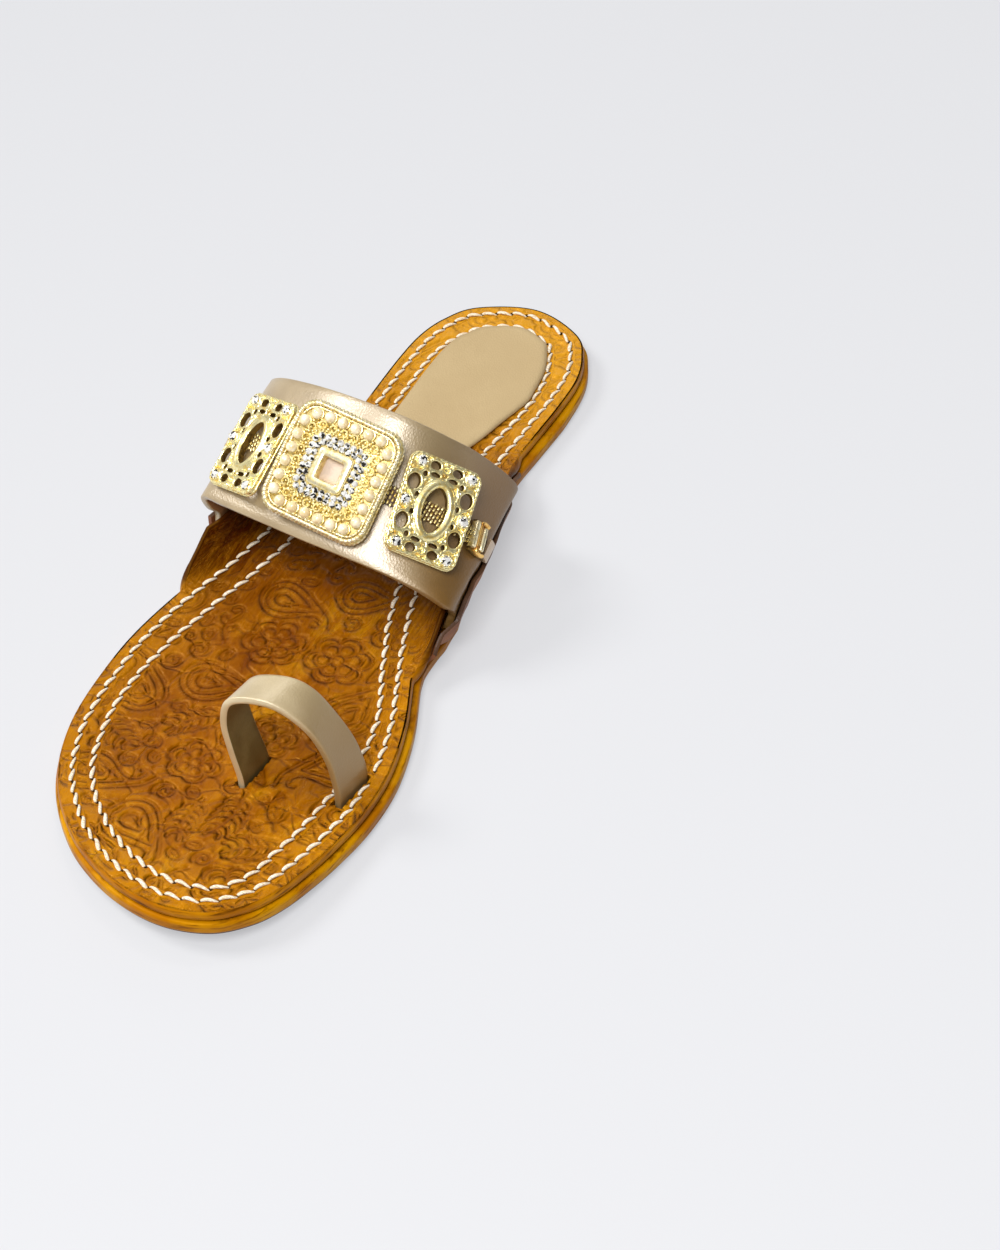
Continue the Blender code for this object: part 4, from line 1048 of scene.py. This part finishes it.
def build_top_sole(lines, rows, holes):
    """The embossed top sole: its rim and ears as rings, and the flat between the stitch rows."""
    places = np.linspace(0, 0.88, 12)
    rings = [top_sole_face(t, 0.0) for t in places]
    rings += [top_sole_edge(*step) for step in ((-0.4, 0.0), (-0.05, 0.04), (0.22, 0.16), (0.40, 0.34),
                                                (0.45, 0.55), (0.38, 0.78), (0.1, 0.95), (-0.3, 1.0))]
    above = len(rings)
    rings += [top_sole_face(t, 1.0) for t in (0.8, 0.5, 0.25, 0.0)]
    rings.append(sole_ring(lambda k: (-UNDER_INSET, -TOP_SOLE_THICKNESS)))
    count = len(ROW)
    points, faces = loft(rings, "open")
    edge = len(points)
    indices = [0] * (len(places) * count) + [1] * (len(faces) - len(places) * count)
    points = close_rings(points, faces, indices, ((0, INSIDE_COLUMNS, 0), (edge - count, 2, 1)))
    inside = np.arange(edge, edge + INSIDE_COLUMNS * (count // 2 - 1))

    # where each point lies on the leather before its rim is turned up, and how much painted shade it gets
    # from the ears and the band
    flat = points[:, :2].copy()
    shade = np.zeros(len(points))
    ear_shades = np.array([ear_shade(*place) for place in PLACES])
    for r in range(above):
        t = places[r] if r < len(places) else 1.0
        belt = slice(r * count, (r + 1) * count)
        flat[belt] = ROW + ROW_NORMALS * (FACE_LENGTHS * t)[:, None]
        shade[belt] = ear_shades * (0.62 + 0.30 * min(1, 1.4 * t))
    from_row = distances(flat[inside], ROW[::2])
    along = flat[inside, 1]
    near = np.array([ear_shade("lateral" if x < 0 else "medial", y) for x, y in flat[inside]])
    under_band = ease(along, *BAND_SHADE[0]) * (1 - ease(along, *BAND_SHADE[1]))
    shade[inside] = near * 0.62 * np.exp(-from_row / EAR_SHADE_REACH) + 0.20 * under_band
    margin = np.ones(len(points))
    margin[inside] = np.exp(-(from_row / MARGIN_REACH) ** 1.5)

    # how far each point is from the pattern's lines, the stitch channels and the holes
    upper = np.r_[0:above * count, inside]
    groove, channel, hole = np.full((3, len(points)), FAR)
    for reach, goals in ((groove, lines), (channel, rows), (hole, holes)):
        reach[upper] = distances(flat[upper], goals)
    slit = slit_distance(flat)
    # the loop's slits get the holes' painted shade as well
    hole = np.minimum(hole, slit + 0.35)
    groove[channel < 1.1] = FAR
    groove[:edge] += 3 * ease(shade[:edge], 0.3, 0.6)

    pressed = PATTERN_DEPTH * (1 - ease(groove, 0.2, 1.2)) + STITCH_SINK * np.exp(-(channel / 0.85) ** 2)
    pressed += HOLE_DEPTH * (1 - ease(hole, 0.3, 0.9)) * (slit > 0.5) + SLIT_DEPTH * (slit <= 0.0)
    level = np.r_[0:count, inside]
    points[level, 2] -= pressed[level]
    values = {"groove": groove, "hole": hole, "margin": margin, "shade": np.clip(shade, 0, 1)}
    add_piece("top_sole_embossed", points, faces, [TAN, RIM], indices,
              slot="tan_leather", replaces=["top_sole"], values=values)


# ---------------------------------------------------------------- ears, band, loop, pad, tabs

# Nearest that an outer flap comes to the stitch row, and the level of its foot
EAR_NEAREST = 4.3
EAR_FLOOR = 0.1 - TOP_SOLE_THICKNESS
EAR_SECTIONS = 110


def outer_ear_section(side, y):
    """Closed section of an outer flap as (outward, up) steps off the stitch row."""
    section = inner_face(side, y)
    share = ear_share(side, y)
    near = ear_thickness(share) + CLEARANCE + 0.15
    far = SLOT_OFFSET + CLEARANCE + 0.2
    wall = near + (far - near) * at_place(BAND_PASSES[side], y)
    turned_up = min(1.0, share / 0.5)
    places = np.linspace(0.92 - 0.34 * turned_up, OUTER_EAR_TOP[side], 9)
    within = [section_point(section, t, wall) for t in places]
    without = [section_point(section, t, wall + OUTER_EAR_THICKNESS) for t in places]
    lip = (without[-1] + within[-1]) / 2 + (0.0, 0.18)
    foot_x, foot_z = within[0] - np.array([0.9, 1.1]) * turned_up
    steps = [*without, lip, *within[::-1], (foot_x, max(foot_z, EAR_FLOOR + 0.6)), (foot_x, EAR_FLOOR)]
    return [(max(x, EAR_NEAREST), max(z, EAR_FLOOR)) for x, z in steps]


def build_outer_ear(side):
    sections = [[lift_out(*row_frame(side, y), step) for step in outer_ear_section(side, y)]
                for y in np.linspace(*OUTER_EAR_SPAN[side], EAR_SECTIONS)]
    points, faces = loft(sections)
    kinds = [0] * len(sections[0])
    # the faces up to the lip and down from it are the cut edge
    kinds[8:10] = [1, 1]
    indices = kinds * (len(sections) - 1) + [0, 0]
    add_piece("outer_ear_dressed_" + side, points, faces, [RAW, CUT_EDGE], indices,
              slot="natural_leather", replaces=["outer_ear_" + side], sharp=35)


def build_strap(name, face, normals, thickness, bulge, materials, node):
    """Strap with rounded edges over the grid of its outer face, in place of a node of the part.

    Its materials are those of the outer face, the edges and the lining."""
    arc = np.linspace(0, math.pi, 8)[1:-1, None]
    sections = []
    for outer, normal in zip(face.swapaxes(0, 1), normals.swapaxes(0, 1)):
        back = outer - normal * thickness
        rear, front = ((outer[end] + back[end]) / 2 + (outer[end] - back[end]) / 2 * np.cos(arc)
                       + unit(outer[end] - outer[inward]) * bulge * np.sin(arc)
                       for end, inward in ((-1, -2), (0, 1)))
        sections.append(np.vstack([outer, rear, back[::-1], front[::-1]]))
    points, faces = loft(sections)
    flat, rounded = len(face) - 1, len(arc) + 1
    kinds = [0] * flat + [1] * rounded + [2] * flat + [1] * rounded
    add_piece(name, points, faces, materials, kinds * (len(sections) - 1) + [1, 1],
              slot="champagne_leather", replaces=[node], sharp=50)


PAD_SEGMENTS = 130
PAD_MIDDLE = (-9.5, PAD_FRONT)
PAD_STARTS = {"lateral": PAD_FRONT + 3, "medial": 80.0}
PAD_ROW_GAP = 0.95
PAD_TIP_INSET = 7.1


def build_pad():
    """Heel pad: a thin crowned sheet with a soft edge, clear of the inner stitch row."""
    edges = {side: [] for side in SIDES}
    for k in range(0, len(ROW), 8):
        side, y = PLACES[k]
        if y > PAD_STARTS[side]:
            edges[side].append(ROW[k] - ROW_NORMALS[k] * max(ROW_GAPS[k] + PAD_ROW_GAP, PAD_INSET[side]))
    tip = ROW[SIDE_SEGMENTS] - ROW_NORMALS[SIDE_SEGMENTS] * PAD_TIP_INSET
    corner = (edges["lateral"][-1][0] + 1.0, PAD_FRONT)
    left = smooth_curve([PAD_MIDDLE, corner, *edges["lateral"][::-1], tip], 6)
    right = smooth_curve([PAD_MIDDLE, *PAD_MEDIAL_CUT, *edges["medial"], tip], 6)
    ring = np.vstack([even_steps(right, PAD_SEGMENTS), even_steps(left, PAD_SEGMENTS)[-2:0:-1]])
    normals = ring_normals(ring)
    rings = []
    for inset, level in ((0.5, -0.15), (0.1, 0.1), (0.0, 0.4), (0.12, 0.7), (0.5, 0.95), (1.1, 1.1),
                         (2.0, PAD_THICKNESS)):
        flat = ring - normals * inset
        rings.append(np.column_stack([flat, surface(flat) + CLEARANCE + level]))
    points, faces = loft(rings, "open")
    inner, closing = close_ring(rings[-1], 24, len(points) - len(ring), len(points))
    faces += closing + [tuple(range(len(ring)))]
    add_piece("heel_pad_sheet", np.vstack([points, inner]), faces, [SOCK],
              slot="sock_leather", replaces=["heel_pad"], sharp=60)


def chain_frame(u, low, high):
    """Direction towards the heel, and the points at two lifts over the chain's line on the band."""
    along = unit(band_point(u, CHAIN_PLACE + 0.1) - band_point(u, CHAIN_PLACE - 0.1))
    return along, band_point(u, CHAIN_PLACE, low), band_point(u, CHAIN_PLACE, high)


def build_tab(side):
    """Flat leather tab with soft long edges, on the band in line with the chain."""
    half, soft = TAB_WIDTH / 2, 0.3
    sections = []
    for u in np.linspace(*TAB_SPANS[side], 31):
        along, low, high = chain_frame(u, CHAIN_LIFT, CHAIN_LIFT + TAB_THICKNESS)
        shoulder = low + unit(high - low) * (TAB_THICKNESS - soft)
        sections.append([low - along * half, shoulder - along * half, high - along * (half - soft),
                         high + along * (half - soft), shoulder + along * half, low + along * half])
    add_piece("tab_leather_" + side, *loft(sections), [STRAP],
              slot="champagne_leather", replaces=["tab_" + side])


# ---------------------------------------------------------------- ornaments

def rounded_square(half, radius):
    """Closed outline of a square with round corners; half is one half size or one each way."""
    corners = []
    for quarter, corner in enumerate(((1, 1), (-1, 1), (-1, -1), (1, -1))):
        turn = (quarter + np.linspace(0, 1, 11)) * math.pi / 2
        middle = np.multiply(corner, np.subtract(half, radius))
        corners.append(ellipse(*middle, radius, radius, turn))
    return np.vstack(corners)


def pointed_oval(half_width, half_length):
    """Closed outline of an oval drawn out to soft points along its length."""
    turn = round_angles(64)
    across = np.abs(np.cos(turn)) ** 1.15 * np.sign(np.cos(turn))
    return np.column_stack([half_width * across, half_length * np.sin(turn)])


def closed_line(outline):
    return np.vstack([outline, outline[:1]])


def spaced(outline, count, shift=0.0):
    """count points at equal steps round a closed outline, and the outline's direction at each."""
    closed = closed_line(outline)
    run = np.concatenate([[0.0], np.cumsum(step_lengths(closed))])
    stops = (np.arange(count) + shift) / count * run[-1]
    here, after, before = (np.column_stack([np.interp((stops + step) % run[-1], run, column)
                                            for column in closed.T]) for step in (0, 0.05, -0.05))
    return here, units(after - before)


def raised(outline, height):
    return np.column_stack([outline, np.full(len(outline), height)])


def square_rings(place, steps, middle=(0, 0)):
    """Rings of rounded squares on a seat; a step is its half size, corner radius and height."""
    return [on_seat(place, raised(rounded_square(half, radius) + middle, height))
            for half, radius, height in steps]


def mirrored(x, y):
    return [(x * side, y * end) for side in (1, -1) for end in (1, -1)]


def beaded_rim(heap, place, outline, height, beads, thick, thin, shift=0.0):
    """Closed strand whose thickness swells into beads."""
    steps = 5
    path, _ = spaced(outline, beads * steps, shift * steps)
    swell = np.abs(np.sin(math.pi * (np.arange(beads * steps) + 0.5) / steps)) ** 0.7
    heap.strand(place, path, height, thin + (thick - thin) * swell, closed=True)


def cut_stone(heap, place, x, y, z, radius, turn):
    """Brilliant-cut stone seen from above: table, crown facets, girdle and a short pavilion."""
    rings = []
    for wide, high, shift in ((0.5, 0.62, 0.0), (0.80, 0.38, 0.5), (1.0, 0.10, 0.0), (0.55, -0.45, 0.5)):
        girth = ellipse(x, y, radius * wide, radius * wide, round_angles(8, shift) + turn)
        rings.append(raised(girth, z + radius * high))
    faces = [tuple(range(8)), tuple(range(24, 32))]
    for level in range(3):
        for k in range(8):
            a, b = level * 8 + k, level * 8 + (k + 1) % 8
            if level == 1:
                faces += [(a, a + 8, b + 8), (a, b + 8, b)]
            else:
                faces += [(a, b, a + 8), (b, b + 8, a + 8)]
    heap.add(on_seat(place, np.vstack(rings)), faces)


def prongs(heap, place, x, y, z, radius, count, size, turn):
    """Small claws round a stone."""
    for angle in turn + round_angles(count):
        claw = (x + radius * math.cos(angle), y + radius * math.sin(angle), z)
        heap.ball(place, claw, size, index=1)


PEARL_COUNT = 24
PEARL_RADIUS = 1.5
PEARL_LEVEL = 2.58
PEARL_PATH = rounded_square(12.35, 4.3)
CUP_LEVEL = 1.75
CURL_PATH = rounded_square(9.9, 2.8)
CURL_RADIUS = 0.95
CURL_LEVEL = 2.62
# Rope rims of the centre plaque: half size, corner radius, height, beads, thickest, thinnest, shift
ROPES = ((14.7, 4.8, 1.75, 100, 0.70, 0.36, 0.0), (15.15, 4.9, 0.75, 100, 0.60, 0.34, 0.5),
         (13.75, 4.4, 1.75, 110, 0.36, 0.18, 0.0))
# Rings of granulation between the pearls and the stones: half width, height, count, size
GRANULES = ((13.6, 1.65, 100, 0.36), (11.0, 1.8, 76, 0.46), (10.2, 2.0, 66, 0.52), (9.3, 2.25, 60, 0.5),
            (8.7, 2.5, 66, 0.36))
# Rings of stones: half width, corner radius, count, shift
STONE_ROWS = ((6.05, 1.5, 25, 0.5), (7.55, 2.3, 30, 0.0))
STONE_RADIUS = 0.9
STONE_LEVEL = 2.75
# Steps of the frame round the opening and of the inlay in it: half width, corner radius, height
FRAME_STEPS = ((5.0, 1.2, 2.3), (5.05, 1.25, 2.95), (4.9, 1.15, 3.25), (4.6, 1.0, 3.4), (3.35, 0.7, 3.42),
               (3.12, 0.6, 3.32), (2.98, 0.55, 3.0), (2.92, 0.5, 0.4))
INLAY_STEPS = ((2.95, 0.6, -0.6), (2.95, 0.6, 0.5), (2.6, 0.6, 0.85), (1.8, 0.6, 1.0))


def build_centre_ornament():
    place = seat("plaque_centre", PLAQUE_LIFT)
    gold, pearls, stones = Heap(), Heap(), Heap()
    for half, corner, height, beads, thick, thin, shift in ROPES:
        beaded_rim(gold, place, rounded_square(half, corner), height, beads, thick, thin, shift)
    for x, y in spaced(PEARL_PATH, PEARL_COUNT, 0.5)[0]:
        pearls.ball(place, (x, y, PEARL_LEVEL), PEARL_RADIUS, rings=12, sides=18)
        cup = ellipse(x, y, PEARL_RADIUS * 0.93, PEARL_RADIUS * 0.93, round_angles(16))
        gold.strand(place, cup, CUP_LEVEL, 0.3, sides=7, index=1, closed=True)
    for half, height, count, size in GRANULES:
        dots, _ = spaced(rounded_square(half, half * 0.3), count, 0.25 * (count % 7))
        for k, (x, y) in enumerate(dots):
            middle = (x, y, height + 0.12 * math.sin(k * 1.7))
            gold.ball(place, middle, size * (1 + 0.22 * math.sin(k * 2.4 + half)), index=1)
    turn = np.linspace(0, 1.6 * math.pi, 12)[:, None]
    for middle, along in zip(*spaced(CURL_PATH, PEARL_COUNT)):
        aside = along[::-1] * (1, -1)
        curl_line = middle + CURL_RADIUS * (along * np.cos(turn) + aside * np.sin(turn))
        gold.strand(place, curl_line, CURL_LEVEL, 0.27, sides=6, index=1)
    gold.add(*loft(square_rings(place, FRAME_STEPS), "open"))
    gold.piece("centre_goldwork", [GOLD, WARM_GOLD], slot="gold", sharp=50)
    pearls.piece("pearls", [PEARL], sharp=80)

    for half, corner, count, shift in STONE_ROWS:
        for k, (x, y) in enumerate(spaced(rounded_square(half, corner), count, shift)[0]):
            cut_stone(stones, place, x, y, STONE_LEVEL, STONE_RADIUS, k * 0.9)
            prongs(stones, place, x, y, STONE_LEVEL + 0.05, STONE_RADIUS + 0.08, 3, 0.17, k * 0.5)
    stones.piece("centre_stones", [STONE, GOLD], sharp=15)
    add_piece("centre_inlay", *loft(square_rings(place, INLAY_STEPS)), [INLAY], slot="natural_leather")


SIDE_STONES = [(-7.1, 11.1), (7.1, 11.1), (-8.3, 0.0), (8.3, 0.0), (-7.1, -11.1), (7.1, -11.1)]
SIDE_STONE_RADIUS = 1.4
SIDE_STONE_LEVEL = 2.05
# Openings of a side plaque in one quarter, repeated in the other three: middle, then half sizes
QUARTER_OPENINGS = [(7.45, 5.3, 1.70, 2.15), (3.15, 11.1, 1.45, 1.15), (2.5, 8.75, 1.35, 0.62),
                    (5.75, 2.35, 0.55, 0.80), (5.2, 8.2, 0.62, 0.75)]
# Curls of the cast scrollwork, and loose beads on it, in one quarter
QUARTER_SCROLLS = [
    [(0.0, 9.9), (1.6, 10.0), (3.4, 9.75), (4.6, 9.2), (5.3, 9.6), (5.1, 10.4)],
    [(5.6, 9.4), (6.8, 8.3), (8.3, 8.4), (9.2, 7.4)],
    [(4.4, 6.9), (5.1, 5.4), (5.0, 3.6), (5.9, 1.1), (7.0, 1.9), (7.6, 2.6)],
    [(0.0, 12.0), (0.9, 11.4), (0.9, 10.4), (0.2, 9.9)],
]
QUARTER_BEADS = [(4.3, 12.3), (0.0, 9.4), (9.1, 2.5), (9.0, 8.9)]
BEAD_LEVEL = 1.75
CENTRE_OPENING = (0.0, 0.0, 3.2, 6.1, 1.74)
# Raised lines round the middle and the rim of a side plaque: outline, half width, height
COLLARS = ((pointed_oval(4.3, 7.2), 1.25, 1.25), (pointed_oval(5.7, 8.7), 0.36, 0.62),
           (rounded_square((9.35, 12.75), 2.3), 0.62, 0.5))
PLATE_HALF = np.array([9.95, 13.35])
PLATE_CORNER = 2.6
PLATE_STEP = 0.22
PLATE_LEVELS = (0.1, 1.25)


def cast_plate(heap, place, openings, strands):
    """Pierced plate with strands of round section cast on it.

    An opening is its middle, half sizes and power, and a strand its points, half width and height.
    A grid is laid over the plate, and its points near an outline are drawn onto the outline."""
    xs, ys = (np.linspace(-half, half, int(2 * half / PLATE_STEP) + 1) for half in PLATE_HALF)
    flat = np.stack(np.meshgrid(xs, ys), axis=-1).reshape(-1, 2)
    near = 0.55 * PLATE_STEP
    over = np.abs(flat) - (PLATE_HALF - PLATE_CORNER)
    past = np.maximum(over, 0)
    most = over.max(axis=1)
    reach = np.linalg.norm(past, axis=1) + np.minimum(most, 0) - PLATE_CORNER
    outward = np.where(most[:, None] > 0, past, over == most[:, None])
    outward = outward * np.sign(flat) / np.linalg.norm(outward, axis=1)[:, None]
    metal = reach < near
    flat = np.where((np.abs(reach) < near)[:, None], flat - outward * reach[:, None], flat)
    for x, y, half_width, half_length, power in openings:
        rho = np.sqrt(((np.abs(flat - (x, y)) / (half_width, half_length)) ** (power, 2)).sum(axis=1))
        gap = (rho - 1) * min(half_width, half_length)
        metal &= gap > -near
        scale = np.where(np.abs(gap) < near, 1 / np.maximum(rho, 0.1), 1.0)
        flat = (x, y) + (flat - (x, y)) * scale[:, None]

    base, top = PLATE_LEVELS
    height = np.full(len(flat), top)
    for points, half_width, rise_by in strands:
        steps = np.vstack([points[:-1] + (points[1:] - points[:-1]) * t for t in np.linspace(0, 0.9, 8)])
        low, high = steps.min(axis=0) - half_width, steps.max(axis=0) + half_width
        touched = np.flatnonzero(((flat > low) & (flat < high)).all(axis=1))
        off = np.sqrt(((flat[touched, None] - steps[None]) ** 2).sum(axis=2).min(axis=1))
        round_top = top + rise_by * np.sqrt(np.clip(1 - (off / half_width) ** 2, 0, 1))
        height[touched] = np.maximum(height[touched], round_top)

    count = len(flat)
    rings = [tuple(k for k in quad if metal[k]) for quad in grid_faces(len(ys), len(xs), closed=False)]
    faces = [ring for ring in rings if len(ring) >= 3]
    edges = dict.fromkeys(edge for face in faces for edge in zip(face, face[1:] + face[:1]))
    walls = [(a, a + count, b + count, b) for a, b in edges if (b, a) not in edges]
    # the walls of the openings inside the rim take the second material, painted shade in the openings
    dark = [int(np.all(np.abs(flat[a]) < PLATE_HALF - 0.6)) for a, *_ in walls]
    kinds = [0] * len(faces) + dark + [0] * len(faces)
    faces += walls + [tuple(k + count for k in reversed(face)) for face in faces]
    points = np.vstack([np.column_stack([flat, height]), raised(flat, base)])
    used = np.unique([k for face in faces for k in face])
    renamed = np.zeros(2 * count, int)
    renamed[used] = np.arange(len(used))
    heap.add(on_seat(place, points[used]), [tuple(renamed[list(face)]) for face in faces], kinds)


def build_side_ornament(name):
    place = seat(name, PLAQUE_LIFT)
    gold, stones = Heap(), Heap()
    openings, strands = [CENTRE_OPENING], []
    for x, y, half_width, half_length in QUARTER_OPENINGS:
        for cx, cy in mirrored(x, y):
            openings.append((cx, cy, half_width, half_length, 2.0))
            ring = ellipse(cx, cy, half_width + 0.42, half_length + 0.42, round_angles(28))
            strands.append((closed_line(ring), 0.55, 0.72))
    strands += [(smooth_curve(np.array(points) * signs, 5), 0.42, 0.78)
                for points in QUARTER_SCROLLS for signs in mirrored(1, 1)]
    strands += [(closed_line(outline), half_width, height) for outline, half_width, height in COLLARS]
    for k, (x, y) in enumerate(SIDE_STONES):
        strands.append((closed_line(ellipse(x, y, 1.5, 1.5, round_angles(20))), 0.5, 0.95))
        cut_stone(stones, place, x, y, SIDE_STONE_LEVEL, SIDE_STONE_RADIUS, k * 0.7)
        prongs(stones, place, x, y, SIDE_STONE_LEVEL + 0.3, SIDE_STONE_RADIUS - 0.02, 6, 0.3, k * 0.5)
    cast_plate(gold, place, openings, strands)
    beaded_rim(gold, place, rounded_square((9.6, 13.0), 2.5), 1.5, 62, 0.48, 0.28)
    beaded_rim(gold, place, rounded_square((9.85, 13.25), 2.6), 0.55, 62, 0.40, 0.30, shift=0.5)
    for bead in QUARTER_BEADS:
        for x, y in mirrored(*bead):
            gold.ball(place, (x, y, BEAD_LEVEL), 0.5, rings=5, sides=8)
    gold.piece("scrollwork_" + name, [CAST_GOLD, SHADE_PAINTED_GOLD], slot="gold", sharp=50, replaces=[name])
    stones.piece("stones_" + name, [STONE, GOLD], sharp=15)


CORE_HALF = CHAIN_WIDTH / 2 - 0.2
BAR_PITCH = 0.92
BAR_ROWS = 4
BAR_SPACING = 1.36
BAR_STAGGER = 0.22
CORE_THICKNESS = 0.3
BAR_LEVEL = 0.45
# Points of one bar: place along it and radius
BAR_PROFILE = ((-0.55, 0.22), (-0.3, 0.34), (0.3, 0.34), (0.55, 0.22))


def build_chain():
    """Woven strip: a dark core under four staggered rows of short bars."""
    heap = Heap()
    core = []
    for u in np.linspace(*CHAIN_SPAN, 120):
        along, low, high = chain_frame(u, CHAIN_LIFT, CHAIN_LIFT + CORE_THICKNESS)
        half = along * CORE_HALF
        core.append([low - half, low + half, high + half, high - half])
    heap.add(*loft(core), 1)
    columns = int(step_lengths(np.array(core)[:, 0]).sum() / BAR_PITCH)
    for column in range(columns):
        u = CHAIN_SPAN[0] + (CHAIN_SPAN[1] - CHAIN_SPAN[0]) * (column + 0.5) / columns
        along, low, centre = chain_frame(u, CHAIN_LIFT, CHAIN_LIFT + BAR_LEVEL)
        for row in range(BAR_ROWS):
            middle = (row - (BAR_ROWS - 1) / 2) * BAR_SPACING + (BAR_STAGGER if column % 2 else -BAR_STAGGER)
            path = [centre + along * (middle + end) for end, _ in BAR_PROFILE]
            heap.tube(path, [radius for _, radius in BAR_PROFILE], unit(centre - low), sides=6)
    heap.piece("woven_chain", [WARM_GOLD, CUT_EDGE], slot="gold", replaces=["chain_strip"], sharp=60)


def block(heap, place, middle, half, corner, low, high, index=0):
    """Upright block with round corners and a softened top."""
    soft = 0.3
    steps = [(np.subtract(half, inset), corner, height) for inset, height in
             ((0.0, low), (0.0, high - soft), (soft * 0.3, high - soft * 0.3), (soft, high))]
    heap.add(*loft(square_rings(place, steps, middle)), index)


# Half of the slide's hooked frame, and of its bar (place along it, radius); each is mirrored
SLIDE_HOOK = [(2.3, -4.1), (1.2, -4.35), (-0.1, -4.2), (-0.55, -3.4), (-0.55, 0.0)]
SLIDE_BAR = [(-3.4, 0.3), (-3.3, 0.62), (-3.0, 0.78), (-1.5, 0.82), (0.0, 0.82)]


def build_slide():
    """Cast slide: a pale end plate and bar, and a yellow frame hooked round the bar."""
    place = seat("slide_medial", CHAIN_LIFT)
    heap = Heap()
    # the base block takes the third material, painted shade under the hook and the bar
    block(heap, place, (0.0, 0.0), (2.7, 4.5), 0.5, 0.05, 1.0, 2)
    block(heap, place, (-2.05, 0.2), (0.72, 3.7), 0.25, 0.05, 2.1)
    hook = smooth_curve(SLIDE_HOOK + [(x, -y) for x, y in SLIDE_HOOK[-2::-1]], 6)
    heap.strand(place, hook, 1.35, 0.58, sides=10, index=1, flat=1.5)
    bar = SLIDE_BAR + [(-y, radius) for y, radius in SLIDE_BAR[-2::-1]]
    heap.strand(place, [(1.15, y) for y, _ in bar], 1.45, [radius for _, radius in bar], sides=12, flat=1.2)
    heap.piece("slide_cast", [GOLD, ORANGE_GOLD, SHADE_PAINTED_GOLD], slot="gold", sharp=50, replaces=["slide_medial"])


# ---------------------------------------------------------------- build

outer_holes = build_stitches("stitching_outer", ROW)
inner_holes = build_stitches("stitching_inner", INNER_ROW)
build_outsole()
build_top_sole(pattern_points(), np.vstack([ROW, INNER_ROW]), np.array(outer_holes + inner_holes))
for side in SIDES:
    build_outer_ear(side)
build_strap("instep_band_leather", BAND_FACE, BAND_NORMALS, BAND_THICKNESS, 0.35,
            [CHAMPAGNE, CHAMPAGNE, LINING], "instep_band")
build_strap("toe_loop_leather", LOOP_FACE, LOOP_NORMALS, LOOP_THICKNESS, 0.3,
            [LOOP, LOOP, LOOP_LINING], "toe_loop")
build_pad()
for side in SIDES:
    build_tab(side)
build_centre_ornament()
for name in ("plaque_lateral", "plaque_medial"):
    build_side_ornament(name)
build_chain()
build_slide()
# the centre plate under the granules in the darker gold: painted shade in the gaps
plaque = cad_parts["plaque_centre"]
plaque.data.materials.clear()
plaque.data.materials.append(PLATE_GOLD)

# ---------------------------------------------------------------- stage, light and camera


def place_object(name, data, matrix=None):
    made = bpy.data.objects.new(name, data)
    bpy.context.scene.collection.objects.link(made)
    if matrix:
        made.matrix_world = matrix
    return made


floor_mesh = bpy.data.meshes.new("studio_floor")
floor_mesh.from_pydata([(-4, -4, 0), (4, -4, 0), (4, 4, 0), (-4, 4, 0)], [], [(0, 1, 2, 3)])
backdrop = Shade("pale_backdrop", Base_Color=(0.26, 0.26, 0.264, 1.0), Roughness=0.95, Specular_IOR_Level=0.0,
                 Emission_Color=rgb(236, 237, 241), Emission_Strength=0.545)
floor_mesh.materials.append(backdrop.material)
place_object("studio_floor", floor_mesh)

# Pale walls near the horizon, a dim room above them, a soft glow overhead, all dimmer on the medial side
SKY = [(0.0, 0.52), (0.22, 0.42), (0.48, 0.17), (0.70, 0.12), (0.82, 0.42), (1.0, 0.60)]
SKY_DIMMER = {"From Min": -0.1, "From Max": 0.8, "To Min": 1.0, "To Max": 0.3}
world = bpy.data.worlds.new("studio")
world.use_nodes = True
nodes, links = world.node_tree.nodes, world.node_tree.links
direction = nodes.new("ShaderNodeSeparateXYZ")
links.new(nodes.new("ShaderNodeTexCoord").outputs["Generated"], direction.inputs[0])
glow = nodes.new("ShaderNodeValToRGB")
links.new(direction.outputs["Z"], glow.inputs["Fac"])
while len(glow.color_ramp.elements) < len(SKY):
    glow.color_ramp.elements.new(0.5)
for element, (height, level) in zip(glow.color_ramp.elements, SKY):
    element.position = height
    element.color = (level, level, level * 1.02, 1.0)
dimmer = nodes.new("ShaderNodeMapRange")
links.new(direction.outputs["X"], dimmer.inputs["Value"])
for key, value in SKY_DIMMER.items():
    dimmer.inputs[key].default_value = value
links.new(glow.outputs["Color"], nodes["Background"].inputs["Color"])
links.new(dimmer.outputs["Result"], nodes["Background"].inputs["Strength"])
bpy.context.scene.world = world
bpy.context.scene.view_settings.view_transform = "Standard"

# Lights: name, kind, place in metres, width (an angle for the sun) and power
LIGHTS = [
    ("key", "SUN", (-1.0, -0.15, 1.1), 0.35, 1.7),
    ("softbox_front", "AREA", (0.12, -0.65, 1.0), 0.50, 13.0),
    ("softbox_rear", "AREA", (-0.35, 1.15, 0.80), 0.45, 1.2),
    ("glint", "AREA", (-0.15, 0.45, 1.15), 0.16, 1.2),
]
for name, kind, spot, width, power in LIGHTS:
    lamp = bpy.data.lights.new(name, kind)
    setattr(lamp, "angle" if kind == "SUN" else "size", width)
    lamp.energy = power
    light = place_object(name, lamp)
    light.location = spot
    light.rotation_euler = (-Vector(spot)).to_track_quat("-Z", "Y").to_euler()

# The photo's camera: its place, and its right, down and forward directions
CAMERA_PLACE = Vector((0.25406, -0.47051, 0.50299))
CAMERA_RIGHT = Vector((0.91254455, 0.40897731, 0.0))
CAMERA_DOWN = Vector((0.28409951, -0.63390671, -0.7193398))
CAMERA_FORWARD = Vector((-0.29419366, 0.65642962, -0.69465837))
camera_data = bpy.data.cameras.new("photo_camera")
camera_data.lens = 79.2
camera_data.sensor_width = 36
axes = Matrix((CAMERA_RIGHT, -CAMERA_DOWN, -CAMERA_FORWARD)).transposed().to_4x4()
camera = place_object("photo_camera", camera_data, Matrix.Translation(CAMERA_PLACE) @ axes)
bpy.context.scene.camera = camera
